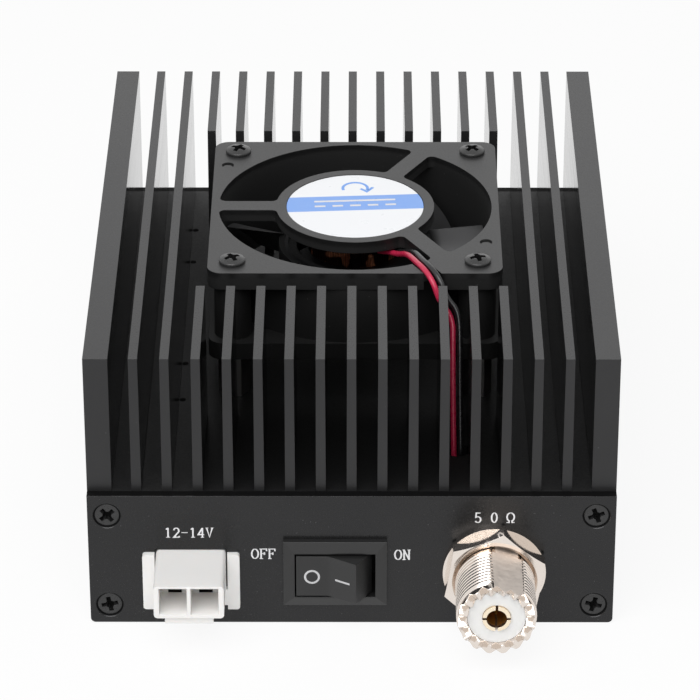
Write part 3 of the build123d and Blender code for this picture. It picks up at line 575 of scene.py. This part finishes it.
def label_look():
    """White film with a pale blue band across it, a little askew."""
    look = Look("white_label", (0.9, 0.91, 0.93), 0.3)
    look.set("Coat Weight", 0.3)
    lowest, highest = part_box("fan_label")
    centre = (lowest + highest) / 2
    about = look.place(Location=(-centre.x, -centre.y - band_rise, 0))
    across = look.part(look.mapped(about, Rotation=(0, 0, -band_turn)), "Y")
    band = look.fall(across, band_half_height - band_blur, band_half_height + band_blur)
    fibre = look.noise(260)
    paper = look.tint(fibre, (0.895, 0.91, 0.935), (0.915, 0.927, 0.95))
    ink = look.tint(fibre, (0.165, 0.365, 0.85), (0.175, 0.375, 0.86))
    color = look.tint(band, paper, ink)
    return look.skin(color, look.spread(fibre, 0.26, 0.38), fibre, 0.0000005)


def ink_look(name, low, high):
    """Screen-printed ink with a slightly uneven cover."""
    look = Look(name, grey(high), 0.45)
    cover = look.noise(1500, detail=3.0)
    color = look.greys(cover, low, high)
    return look.skin(color, look.spread(cover, 0.38, 0.55), cover, 0.000003)


def ptfe_look():
    """Milky white disc, waxy and slightly see-through, with painted shade down in its bore."""
    look = Look("white_ptfe", (0.88, 0.88, 0.87), 0.4)
    look.see_through(0.25, (0.001, 0.001, 0.0009))
    cloud = look.noise(400, detail=3.0)
    outwards = look.outwards(abs(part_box("antenna_socket_insulator")[0].y))
    milky = look.tint(cloud, (0.84, 0.84, 0.83), (0.87, 0.87, 0.86))
    # Painted shade: dark brown down in the bore
    color = look.tint(outwards, (0.12, 0.08, 0.05), milky)
    return look.skin(color, look.spread(cloud, 0.32, 0.48), cloud, 0.000008)


# Dark colour, light colour and range of roughness of each metal, and the stretch of milled marks
metals = {
    "bare_steel": ((0.28, 0.275, 0.27), (0.4, 0.395, 0.385), (0.3, 0.45)),
    "bronze": ((0.46, 0.3, 0.14), (0.62, 0.42, 0.2), (0.3, 0.45)),
    # tinned_brass is painted far darker than the metal, as painted shade of the slots where it
    # shows
    "tinned_brass": ((0.08, 0.077, 0.073), (0.12, 0.116, 0.11), (0.45, 0.6)),
    "nickel": ((0.74, 0.67, 0.61), (0.82, 0.75, 0.69), (0.1, 0.18)),
    "milled_nickel": ((0.76, 0.69, 0.63), (0.84, 0.77, 0.71), (0.55, 0.68), (0.05, 1, 1)),
    # Painted shade: near-black steel for the fan's yoke and stator core inside the hub
    "steel_in_painted_shade": ((0.007, 0.007, 0.008), (0.012, 0.012, 0.013), (0.5, 0.65)),
}
# The same of each coloured skin
coats = {
    "ferrite": ((0.02, 0.02, 0.021), (0.045, 0.044, 0.043), (0.5, 0.7)),
    "circuit_board": ((0.012, 0.09, 0.03), (0.02, 0.14, 0.05), (0.28, 0.42)),
    "red_wire": ((0.5, 0.016, 0.06), (0.62, 0.03, 0.09), (0.24, 0.36)),
    "black_wire": ((0.008, 0.008, 0.009), (0.016, 0.016, 0.017), (0.24, 0.36)),
    "blue_ink": ((0.165, 0.365, 0.85), (0.18, 0.385, 0.87), (0.3, 0.4)),
}
# Level of grey, range of roughness and what else differs in each plain black
plastics = {
    "black_screw_steel": (0.02, (0.24, 0.36), {"scale": 3200, "relief": metal_relief}),
    "switch_plastic": (0.013, (0.28, 0.4), {"scale": 2400, "relief": 0.000008}),
    "black_epoxy": (0.014, (0.45, 0.6), {}),
    # Painted shade: a near-black, dimly reflecting magnet ring inside the fan's hub
    "magnet_in_painted_shade": (0.008, (0.6, 0.8), {"specular": 0.15}),
    # Painted shade: near-black, rough and dimly reflecting, for hollows, slots and holes
    "painted_hollow_shade": (0.003, (0.7, 0.9), {"specular": 0.1}),
}
looks = {
    "black_anodised": anodised_look(),
    "black_powder_coat": powder_coat_look("black_powder_coat", on_panel=False),
    "panel_coat": powder_coat_look("panel_coat", on_panel=True),
    "black_fan_plastic": fan_plastic_look(),
    "grey_fan_plastic": impeller_look(),
    "white_label": label_look(),
    "copper": copper_look(),
    "white_nylon": nylon_look(),
    "white_ptfe": ptfe_look(),
    "gold_contact": gold_look(),
    "white_ink": ink_look("white_ink", 0.72, 0.86),
    "pale_ink": ink_look("pale_ink", 0.5, 0.64),
}
for name, values in metals.items():
    looks[name] = metal_look(name, *values)
for name, values in coats.items():
    looks[name] = coated_look(name, *values)
for name, (level, rough, rest) in plastics.items():
    looks[name] = plastic_look(name, level, rough, **rest)

# Nodes that don't look like the rest of their slot: the panels carry painted shade in their sunk
# holes, and the fan's yoke, stator core and magnet ring are painted near-black as painted shade
# inside the hub
node_looks = {
    "front_panel": "panel_coat",
    "rear_panel": "panel_coat",
    "fan_rotor_yoke": "steel_in_painted_shade",
    "fan_stator_core": "steel_in_painted_shade",
    "fan_magnet_ring": "magnet_in_painted_shade",
}


# Pieces of the frame


for subpart in frame["record"]["subparts"]:
    look_name = node_looks.get(subpart["node"], subpart["material_slot"])
    for place in frame["nodes"][subpart["node"]].material_slots:
        place.material = looks[look_name]


# Meshes


def keep(name, bm, look, body):
    """Make the mesh a piece of the object that moves with a body, with a look by its name."""
    bmesh.ops.recalc_face_normals(bm, faces=bm.faces)
    mesh = bpy.data.meshes.new(name)
    bm.to_mesh(mesh)
    bm.free()
    mesh.polygons.foreach_set("use_smooth", [True] * len(mesh.polygons))
    mesh.set_sharp_from_angle(angle=smooth_angle)
    mesh.materials.append(looks[look])
    piece = bpy.data.objects.new(name, mesh)
    bpy.context.scene.collection.objects.link(piece)
    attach(piece, body)
    return piece


def bridge(bm, first, last):
    """Faces between two rings, or between a ring and a single point."""
    count = max(len(first), len(last))
    for number in range(count):
        after = number + 1
        corners = [first[number % len(first)], first[after % len(first)],
                   last[after % len(last)], last[number % len(last)]]
        bm.faces.new(list(dict.fromkeys(corners)))


def turned(profile, segments):
    """Closed solid of revolution about Z, from (radius, z) points that begin and end on it."""
    bm = bmesh.new()
    rings = []
    for radius, z in profile:
        count = segments if radius > 0 else 1
        angles = [2 * math.pi * number / segments for number in range(count)]
        circle = [(radius * math.cos(a), radius * math.sin(a), z) for a in angles]
        rings.append([bm.verts.new(point) for point in circle])
    for first, last in zip(rings, rings[1:]):
        bridge(bm, first, last)
    bmesh.ops.recalc_face_normals(bm, faces=bm.faces)
    return bm


def round_corner(radius, top, bend):
    """Profile points of a rounded rim, from the outside up to the top."""
    steps = [math.pi / 2 * number / rim_steps for number in range(rim_steps + 1)]
    return [(radius - bend + bend * math.cos(a), top - bend + bend * math.sin(a)) for a in steps]


# Screws


def domed_top(radius, low, rise):
    """Profile points of a slight dome, from inside its rim to its middle."""
    return [(radius * share, low + rise * (1 - share * share)) for share in crown_shares]


def cross_outline(size_share):
    """Outline of a cross recess, its inner corners cut."""
    span = recess_half_span * size_share
    wide = recess_half_width * size_share
    inner = wide + recess_corner * size_share
    arm = [(span, -wide), (span, wide), (inner, wide), (wide, inner)]
    points = []
    for quarter in range(4):
        turn = Matrix.Rotation(quarter * math.pi / 2, 2)
        points += [turn @ Vector(point) for point in arm]
    return points


def cross_cutter(top):
    """Tapered cross that sinks into a screw's head from above its top."""
    bm = bmesh.new()
    rings = []
    for size_share, z in ((1.0, top), (recess_foot_share, top - recess_depth)):
        rings.append([bm.verts.new((point.x, point.y, z)) for point in cross_outline(size_share)])
    bridge(bm, rings[0], rings[1])
    for ring in rings:
        bm.faces.new(ring)
    bmesh.ops.recalc_face_normals(bm, faces=bm.faces)
    return bm


def scratch_object(bm):
    """Object for a modifier to work on, taken away afterwards."""
    mesh = bpy.data.meshes.new("scratch")
    bm.to_mesh(mesh)
    bm.free()
    made = bpy.data.objects.new("scratch", mesh)
    bpy.context.scene.collection.objects.link(made)
    return made


def with_recess(head, top):
    """Mesh of a screw with the cross cut into its head, its faces deep in the cross set apart for
    painted shade.
    """
    body = scratch_object(head)
    cutter = scratch_object(cross_cutter(top))
    cut = body.modifiers.new("recess", "BOOLEAN")
    cut.operation = "DIFFERENCE"
    cut.solver = "EXACT"
    cut.object = cutter
    bevel = body.modifiers.new("edge", "BEVEL")
    bevel.limit_method = "ANGLE"
    bevel.angle_limit = smooth_angle
    bevel.width = recess_edge
    bevel.segments = recess_edge_segments
    bevel.use_clamp_overlap = False
    bpy.context.view_layer.update()
    shown = body.evaluated_get(bpy.context.evaluated_depsgraph_get())
    mesh = bpy.data.meshes.new_from_object(shown)
    bpy.data.objects.remove(body)
    bpy.data.objects.remove(cutter)
    # Faces deep in the cross take the second slot, for painted shade
    for polygon in mesh.polygons:
        inside = polygon.center.xy.length < recess_half_span
        deep = recess_shade_from < top - polygon.center.z < recess_depth + recess_edge
        polygon.material_index = int(inside and deep)
    return mesh


def screw_set(node, mesh, places, turns):
    """One piece of several like screws, each driven to its own angle, with painted shade deep in
    their crosses.
    """
    bm = bmesh.new()
    for place, turn in zip(places, turns):
        screw = bmesh.new()
        screw.from_mesh(mesh)
        screw.transform(place @ Matrix.Rotation(math.radians(turn), 4, "Z"))
        screw_mesh = bpy.data.meshes.new("scratch")
        screw.to_mesh(screw_mesh)
        screw.free()
        bm.from_mesh(screw_mesh)
        bpy.data.meshes.remove(screw_mesh)
    piece = keep(node + "_driven", bm, "black_screw_steel", "amplifier")
    piece.data.materials.append(looks["painted_hollow_shade"])
    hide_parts(node)


def panel_screws():
    """Sunk screws of both end panels, with a slightly domed head."""
    lowest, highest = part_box("panel_screws")
    rim = round_corner(sunk_head_r, 0, sunk_head_bend)
    shank_top = screw_shank_r - sunk_head_r
    tip = sunk_head_length
    profile = [(0, -tip), (screw_shank_r, -tip), (screw_shank_r, shank_top - sunk_head_bend), *rim]
    profile += domed_top(sunk_head_r, 0, sunk_head_crown)
    mesh = with_recess(turned(profile, head_segments), sunk_head_crown)
    places = []
    for y, lean in ((lowest.y, math.pi / 2), (highest.y, -math.pi / 2)):
        stand = Matrix.Rotation(lean, 4, "X")
        for x in (lowest.x + sunk_head_r, highest.x - sunk_head_r):
            for z in (lowest.z + sunk_head_r, highest.z - sunk_head_r):
                places.append(Matrix.Translation((x, y, z)) @ stand)
    screw_set("panel_screws", mesh, places, panel_screw_turns)


def fan_screws():
    """Pan-head screws of the fan."""
    lowest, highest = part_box("fan_screws")
    rim = round_corner(pan_head_r, pan_head_height * pan_shoulder_share, pan_head_bend)
    length = highest.z - lowest.z - pan_head_height
    profile = [(0, -length), (screw_shank_r, -length), (screw_shank_r, 0), (pan_head_r, 0), *rim]
    wide, shoulder = rim[-1]
    profile += domed_top(wide, shoulder, pan_head_height - shoulder)
    mesh = with_recess(turned(profile, head_segments), pan_head_height)
    places = []
    for x in (lowest.x + pan_head_r, highest.x - pan_head_r):
        for y in (lowest.y + pan_head_r, highest.y - pan_head_r):
            places.append(Matrix.Translation((x, y, highest.z - pan_head_height)))
    screw_set("fan_screws", mesh, places, fan_screw_turns)


# RF sockets


def rim_y(angle, radius):
    """The toothed rim: V notches of one width, cut straight through the wall."""
    step = 2 * math.pi / tooth_count
    beside = (angle + step / 2) % step - step / 2
    share = abs(radius * math.sin(beside)) / tooth_half_width
    return -shell_reach + tooth_depth * max(0, 1 - share)


def within_flat(angle, radius):
    """The radius, held back where the flat cuts the barrel."""
    lean = math.cos(angle - flat_turn)
    limit = (thread_r - flat_depth) / lean if lean > flat_lean_share else radius
    return min(radius, limit)


def thread_rows():
    """Corners of the thread as (radius, share of a turn): two of its crest and two of its root."""
    flank = (1 - thread_crest_share - thread_root_share) / 2
    root_r = thread_r - thread_depth
    crest_end = thread_crest_share
    root_start = crest_end + flank
    root_end = root_start + thread_root_share
    return [(thread_r, 0), (thread_r, crest_end), (root_r, root_start), (root_r, root_end)]


def socket_shell(node, place):
    """Threaded barrel with a flat, a toothed rim, a neck under the nut and an inner flange."""
    bm = bmesh.new()
    angles = [2 * math.pi * number / shell_segments for number in range(shell_segments)]
    root_r = thread_r - thread_depth
    thread_start = -shell_reach + tooth_depth + shell_lead
    thread_end = shell_neck_y - shell_lead

    def vertex(angle, radius, y):
        return bm.verts.new((radius * math.sin(angle), y, radius * math.cos(angle)))

    def ring(radius, y):
        return [vertex(angle, radius, y) for angle in angles]

    def flat_ring(radius, y):
        return [vertex(angle, within_flat(angle, radius), y) for angle in angles]

    def rim_ring(radius, back):
        cut = [within_flat(angle, radius) for angle in angles]
        return [vertex(angle, r, rim_y(angle, r) + back) for angle, r in zip(angles, cut)]

    rim = [rim_ring(shell_bore_r, rim_edge), rim_ring(shell_bore_r + rim_edge, 0),
           rim_ring(root_r - rim_edge, 0), rim_ring(root_r, rim_edge)]
    before = flat_ring(root_r, thread_start)
    after = flat_ring(root_r, thread_end)
    back = [flat_ring(neck_r, shell_neck_y), flat_ring(neck_r, panel_thickness),
            ring(flange_r, panel_thickness), ring(flange_r, panel_thickness + flange_thickness),
            ring(tail_r, panel_thickness + flange_thickness), ring(tail_r, shell_rear),
            ring(shell_bore_r, shell_rear)]
    front_rows = [*rim, before]
    back_rows = [after, *back]
    for rows in (front_rows, back_rows):
        for first, last in zip(rows, rows[1:]):
            bridge(bm, first, last)
    bridge(bm, back_rows[-1], front_rows[0])

    corners = thread_rows()
    turns = math.ceil((thread_end - thread_start) / thread_pitch) + 1
    grid = []
    for number in range(turns * len(corners) + 1):
        turn, corner = divmod(number, len(corners))
        radius, share = corners[corner]
        row = []
        for step, angle in enumerate(angles):
            y = thread_start + thread_pitch * (turn - 1 + share + step / shell_segments)
            if y <= thread_start:
                row.append(before[step])
            elif y >= thread_end:
                row.append(after[step])
            else:
                row.append(vertex(angle, within_flat(angle, radius), y))
        grid.append(row)
    last_row = len(grid) - 1
    for number in range(-len(corners), last_row):
        for step in range(shell_segments):
            wrap = len(corners) if step + 1 == shell_segments else 0
            column = (step + 1) % shell_segments
            corner_places = ((number, step), (number + 1, step),
                             (number + 1 + wrap, column), (number + wrap, column))
            quad = [grid[min(max(row, 0), last_row)][across] for row, across in corner_places]
            distinct = list(dict.fromkeys(quad))
            if len(distinct) > 2:
                bm.faces.new(distinct)
    outward = Vector((math.sin(flat_turn), 0, math.cos(flat_turn)))
    for face in bm.faces:
        height = min(corner.co.dot(outward) for corner in face.verts)
        face.material_index = int(height > thread_r - flat_depth - flat_tolerance)
    bm.transform(place)
    piece = keep(node + "_threaded", bm, "nickel", "amplifier")
    piece.data.materials.append(looks["milled_nickel"])
    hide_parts(node)


def socket_place(node, turn):
    """Where a socket's axis meets its panel's outer face."""
    lowest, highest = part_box(node)
    middle = (lowest + highest) / 2
    face = lowest.y + shell_reach if turn == 0 else highest.y - shell_reach
    return Matrix.Translation((middle.x, face, middle.z)) @ Matrix.Rotation(turn, 4, "Z")


# Fan leads


def lead(node, route, slot):
    """Insulated wire on one smooth line through its route."""
    name = node + "_run"
    curve = bpy.data.curves.new(name, "CURVE")
    curve.dimensions = "3D"
    spline = curve.splines.new("NURBS")
    spline.points.add(len(route) - 1)
    for point, place in zip(spline.points, route):
        point.co = (*place, 1)
    spline.order_u = wire_order
    spline.use_endpoint_u = True
    spline.resolution_u = wire_smoothness
    curve.bevel_depth = wire_d / 2
    curve.bevel_resolution = wire_roundness
    curve.use_fill_caps = True
    curve.materials.append(looks[slot])
    piece = bpy.data.objects.new(name, curve)
    bpy.context.scene.collection.objects.link(piece)
    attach(piece, "amplifier")
    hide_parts(node)


# Print


def surface(origin, right, up):
    """Frame of a printed face: its right, its up and straight out of it."""
    right = Vector(right).normalized()
    up = Vector(up).normalized()
    out = right.cross(up)
    return Matrix.Translation(origin) @ Matrix((right, up, out)).transposed().to_4x4()


def on_front(x, y, z):
    """Frame of print that faces forwards."""
    return surface((x, y, z), (1, 0, 0), (0, 0, 1))


def on_top(x, y, z):
    """Frame of print that faces up."""
    return surface((x, y, z), (1, 0, 0), (0, 1, 0))


def ribbon(bm, points, widths, height, closed):
    """Stroke of ink: a flat closed strip along its points, with a width at each."""
    count = len(points)
    left, right = [], []
    for number, point in enumerate(points):
        before = points[number - 1] if closed or number > 0 else point
        after = points[(number + 1) % count] if closed or number < count - 1 else point
        sides = [side for side in (point - before, after - point) if side.length > 0]
        normals = [Vector((-side.y, side.x)).normalized() for side in sides]
        normal = sum(normals, Vector((0, 0))).normalized()
        reach = widths[number] / 2 / max(normal.dot(normals[0]), mitre_share)
        left.append(point + normal * reach)
        right.append(point - normal * reach)
    rails = []
    for z in (-ink_sunk, height):
        for rail in (left, right):
            rails.append([bm.verts.new((point.x, point.y, z)) for point in rail])
    left_low, right_low, left_high, right_high = rails
    stop = count if closed else count - 1
    for number in range(stop):
        after = (number + 1) % count
        for first, last in ((left_low, left_high), (left_high, right_high),
                            (right_high, right_low), (right_low, left_low)):
            bm.faces.new((first[number], first[after], last[after], last[number]))
    if not closed:
        for end in (0, -1):
            bm.faces.new((left_low[end], left_high[end], right_high[end], right_low[end]))


def bow(centre, radius_x, radius_y, start, end):
    """Points of a round stretch of a stroke, in degrees from its right and turning upwards."""
    points = []
    for number in range(arc_steps + 1):
        angle = math.radians(start + (end - start) * number / arc_steps)
        x = centre[0] + radius_x * math.cos(angle)
        y = centre[1] + radius_y * math.sin(angle)
        points.append((x, y))
    return points


# Strokes of each sign, in shares of its height
sign_shares = {
    "O": [bow((0.34, 0.5), 0.27, 0.46, 0, 360)],
    "F": [[(0.15, 0.0), (0.15, 1.0)], [(0.02, 0.97), (0.6, 0.97), (0.6, 0.76)],
          [(0.15, 0.52), (0.42, 0.52)], [(0.42, 0.4), (0.42, 0.64)], [(0.02, 0.03), (0.32, 0.03)]],
    "N": [[(0.14, 0.0), (0.14, 1.0)], [(0.12, 0.98), (0.56, 0.02)], [(0.55, 0.0), (0.55, 1.0)],
          [(0.0, 0.03), (0.28, 0.03)], [(0.0, 0.97), (0.16, 0.97)], [(0.42, 0.97), (0.68, 0.97)]],
    "V": [[(0.1, 0.98), (0.34, 0.04), (0.58, 0.98)],
          [(0.0, 0.97), (0.24, 0.97)], [(0.46, 0.97), (0.68, 0.97)]],
    "-": [[(0.06, 0.5), (0.6, 0.5)]],
    "0": [bow((0.34, 0.5), 0.22, 0.46, 0, 360)],
    "1": [[(0.34, 0.0), (0.34, 0.98)], [(0.16, 0.82), (0.34, 0.97)], [(0.16, 0.03), (0.52, 0.03)]],
    "2": [bow((0.34, 0.7), 0.22, 0.26, 170, -30) + [(0.12, 0.04), (0.58, 0.04), (0.58, 0.16)]],
    "4": [[(0.44, 0.0), (0.44, 0.98)], [(0.42, 0.94), (0.08, 0.3), (0.6, 0.3)],
          [(0.3, 0.03), (0.58, 0.03)]],
    "5": [[(0.54, 0.95), (0.18, 0.95), (0.15, 0.54)] + bow((0.32, 0.31), 0.23, 0.28, 120, -150)],
    "ohm": [[(0.02, 0.03), (0.24, 0.03)] + bow((0.36, 0.56), 0.3, 0.4, 245, -65)
            + [(0.48, 0.03), (0.7, 0.03)]],
}


def stroke_widths(points, height, closed):
    """Broad where the stroke runs upright and thin where it lies level."""
    count = len(points)
    widths = []
    for number in range(count):
        before = points[number - 1] if closed else points[max(number - 1, 0)]
        after = points[(number + 1) % count] if closed else points[min(number + 1, count - 1)]
        run = (after - before).normalized()
        widths.append(height * (hair_share + (stroke_share - hair_share) * abs(run.y)))
    return widths


def signs(name, row, height, pitch, place, look, body):
    """A row of signs, each a few strokes that are broad where they run upright."""
    bm = bmesh.new()
    for number, sign in enumerate(row):
        for layer, stroke in enumerate(sign_shares[sign]):
            closed = (Vector(stroke[0]) - Vector(stroke[-1])).length < closing_share
            shares = stroke[:-1] if closed else stroke
            points = [Vector((number * pitch + x * height, y * height)) for x, y in shares]
            widths = stroke_widths(points, height, closed)
            ribbon(bm, points, widths, ink_height * (1 + layer * layer_share), closed)
    bm.transform(place)
    keep(name, bm, look, body)


def mark(name, strokes, height, place, look, body):
    """Plain strokes of one width: each is its points, its width and whether it closes on itself."""
    bm = bmesh.new()
    for points, width, closed in strokes:
        ribbon(bm, [Vector(point) for point in points], [width] * len(points), height, closed)
    bm.transform(place)
    keep(name, bm, look, body)


def ring_points(centre, radius):
    """Points once round a circle."""
    return bow(centre, radius, radius, 0, 360)[:-1]


def panel_print():
    """White signs on the front panel."""
    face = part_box("front_panel")[0].y
    rows = (
        ("print_off", ("O", "F", "F"), off_corner, sign_height, switch_sign_pitch),
        ("print_on", ("O", "N"), on_corner, sign_height, switch_sign_pitch),
        ("print_supply", ("1", "2", "-", "1", "4", "V"), supply_corner, supply_sign_height,
         supply_sign_pitch),
        ("print_antenna", ("5", "0", "ohm"), antenna_corner, sign_height, antenna_sign_pitch),
    )
    for name, row, corner, height, pitch in rows:
        place = on_front(corner[0], face, corner[1])
        signs(name, row, height, pitch, place, "white_ink", "amplifier")


def contact_slot_shades():
    """Thin strips of painted shade on the wall that ends each cell, for the dark slots of the power
    contacts.
    """
    lowest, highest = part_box("power_socket_contacts")
    wall = lowest.y - contact_setback
    middle = (slot_shade_bottom + slot_shade_top) / 2
    for number, x in enumerate((lowest.x, highest.x - 2 * slot_shade_half_width)):
        place = on_front(x + slot_shade_half_width, wall, middle)
        shade_strip = [([(-slot_shade_half_width, 0), (slot_shade_half_width, 0)], slot_shade_top - slot_shade_bottom, False)]
        mark("contact_slot_shade_%d" % (number + 1), shade_strip, ink_height, place, "painted_hollow_shade", "amplifier")


def rocker_marks():
    """The ring and the bar on the rocker's two facets."""
    low_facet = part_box("switch_housing")[0].y - rocker_proud
    place = on_front(ring_mark_place[0], low_facet, ring_mark_place[1])
    ring = [(ring_points((0, 0), ring_mark_r), rocker_mark_width, True)]
    mark("rocker_ring", ring, ink_height, place, "pale_ink", "rocker")
    along = (math.cos(rocker_lean), -math.sin(rocker_lean), 0)
    place = surface((rocker_fold_x, low_facet, bar_mark_z), along, (0, 0, 1))
    bar = [([(bar_mark_start, 0), (bar_mark_end, 0)], rocker_mark_width, False)]
    mark("rocker_bar", bar, ink_height, place, "pale_ink", "rocker")


def label_print():
    """A plain turning arrow on the fan's label, and the direct-current sign on its band."""
    lowest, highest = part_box("fan_label")
    centre = (lowest + highest) / 2
    place = on_top(centre.x, centre.y + arrow_rise, highest.z)
    arc = bow((0, 0), arrow_r, arrow_r, arrow_from, arrow_to)
    tip = Vector(arc[-1])
    head = [tip + Vector((-arrow_head, arrow_head / 2)), tip + Vector((0, -arrow_head / 2)),
            tip + Vector((arrow_head, arrow_head))]
    strokes = [(arc, arrow_width, False), (head, arrow_width, False)]
    mark("label_arrow", strokes, ink_height, place, "blue_ink", "amplifier")

    along = (math.cos(band_turn), math.sin(band_turn), 0)
    up = (-math.sin(band_turn), math.cos(band_turn), 0)
    place = surface((centre.x, centre.y + band_rise, highest.z), along, up)
    line = [(-current_half_width, current_line), (current_half_width, current_line)]
    strokes = [(line, current_width, False)]
    step = 2 * current_half_width / (current_dashes - 1 + current_dash_share)
    for number in range(current_dashes):
        left = number * step - current_half_width
        dash = [(left, -current_line), (left + step * current_dash_share, -current_line)]
        strokes.append((dash, current_width, False))
    mark("label_current", strokes, ink_height, place, "white_ink", "amplifier")


def mould_pin_shades():
    """Crescents of painted shade where the mould's round pins left the frame's top a little low."""
    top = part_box("fan_frame")[1].z
    bm = bmesh.new()
    for x, y in mould_marks:
        points = bow((x, y), mould_mark_r, mould_mark_r, -mould_shade_end, 180 + mould_shade_end)
        widths = [mould_shade_width * (hair_share + math.sin(math.pi * number / arc_steps))
                  for number in range(arc_steps + 1)]
        ribbon(bm, [Vector(point) for point in points], widths, ink_height, False)
    bm.transform(on_top(0, 0, top))
    keep("fan_frame_pin_shades", bm, "painted_hollow_shade", "amplifier")


def drill_hole_shades():
    """Dark rings of painted shade for the mouths of the holes drilled along one channel of the heat
    sink.
    """
    place = on_top(0, 0, channel_floor_z)
    mouths = [(ring_points((drill_x, y), drill_r / 2), drill_r, True) for y in drill_rows]
    mark("drill_hole_shades", mouths, ink_height, place, "painted_hollow_shade", "amplifier")


panel_screws()
fan_screws()
socket_shell("antenna_socket_shell", socket_place("antenna_socket_shell", 0))
socket_shell("input_socket_shell", socket_place("input_socket_shell", math.pi))
lead("fan_lead_red", red_route, "red_wire")
lead("fan_lead_black", black_route, "black_wire")
panel_print()
contact_slot_shades()
rocker_marks()
label_print()
mould_pin_shades()
drill_hole_shades()


# Studio


def seen_share(tree):
    """1 where a ray comes from the camera, straight or by way of metal or glass, and else 0."""
    path = tree.nodes.new("ShaderNodeLightPath")
    seen = path.outputs["Is Camera Ray"]
    for kind in ("Is Glossy Ray", "Is Transmission Ray"):
        most = tree.nodes.new("ShaderNodeMath")
        most.operation = "MAXIMUM"
        tree.links.new(seen, most.inputs[0])
        tree.links.new(path.outputs[kind], most.inputs[1])
        seen = most.outputs["Value"]
    return seen


def add_world():
    """White behind the object, and an even dimmer light on it."""
    world = bpy.data.worlds.new("studio")
    world.use_nodes = True
    bpy.context.scene.world = world
    tree = world.node_tree
    background = tree.nodes["Background"]
    background.inputs["Color"].default_value = (1, 1, 1, 1)
    level = tree.nodes.new("ShaderNodeMapRange")
    level.inputs["To Min"].default_value = world_light
    level.inputs["To Max"].default_value = 1.0
    tree.links.new(seen_share(tree), level.inputs["Value"])
    tree.links.new(level.outputs["Result"], background.inputs["Strength"])


def add_floor():
    """Pale floor that melts into the background and keeps the object's shadow."""
    mesh = bpy.data.meshes.new("floor")
    half = floor_size / 2
    corners = [(-half, -half, 0), (half, -half, 0), (half, half, 0), (-half, half, 0)]
    mesh.from_pydata(corners, [], [(0, 1, 2, 3)])
    floor = bpy.data.objects.new("floor", mesh)
    floor.location.z = -floor_gap
    bpy.context.scene.collection.objects.link(floor)
    material = bpy.data.materials.new("floor")
    material.use_nodes = True
    tree = material.node_tree
    tree.nodes.clear()
    paper = tree.nodes.new("ShaderNodeBsdfDiffuse")
    paper.inputs["Color"].default_value = (floor_white, floor_white, floor_white, 1)
    glow = tree.nodes.new("ShaderNodeEmission")
    mix = tree.nodes.new("ShaderNodeMixShader")
    share = tree.nodes.new("ShaderNodeMath")
    share.operation = "MULTIPLY"
    share.inputs[1].default_value = floor_glow_share
    output = tree.nodes.new("ShaderNodeOutputMaterial")
    tree.links.new(seen_share(tree), share.inputs[0])
    tree.links.new(share.outputs["Value"], mix.inputs[0])
    tree.links.new(paper.outputs[0], mix.inputs[1])
    tree.links.new(glow.outputs[0], mix.inputs[2])
    tree.links.new(mix.outputs[0], output.inputs["Surface"])
    mesh.materials.append(material)


def add_light(name, place, target, size, power):
    """Large soft lamp that points at the object."""
    lamp = bpy.data.lights.new(name, "AREA")
    lamp.shape = "DISK"
    lamp.size = size
    lamp.energy = power
    stand = bpy.data.objects.new(name, lamp)
    stand.location = place
    aim = Vector(target) - Vector(place)
    stand.rotation_euler = aim.to_track_quat("-Z", "Y").to_euler()
    bpy.context.scene.collection.objects.link(stand)


def add_camera():
    """Camera at the photograph's place, with its long lens."""
    data = bpy.data.cameras.new("camera")
    data.sensor_width = sensor_width_mm
    data.lens = focal_pixels / photo_pixels * sensor_width_mm
    level_right = Vector((math.cos(camera_yaw), math.sin(camera_yaw), 0))
    flat = math.cos(camera_pitch)
    forward = Vector((-math.sin(camera_yaw) * flat, math.cos(camera_yaw) * flat,
                      -math.sin(camera_pitch)))
    level_up = level_right.cross(forward)
    right = level_right * math.cos(camera_roll) - level_up * math.sin(camera_roll)
    up = level_right * math.sin(camera_roll) + level_up * math.cos(camera_roll)
    turn = Matrix((right, up, -forward)).transposed().to_4x4()
    camera = bpy.data.objects.new("camera", data)
    camera.matrix_world = Matrix.Translation(camera_place) @ turn
    bpy.context.scene.collection.objects.link(camera)
    bpy.context.scene.camera = camera


add_world()
add_floor()
add_light("key", key_place, light_target, key_size, key_power)
add_light("back", back_place, light_target, back_size, back_power)
add_camera()
bpy.context.scene.view_settings.view_transform = "Standard"
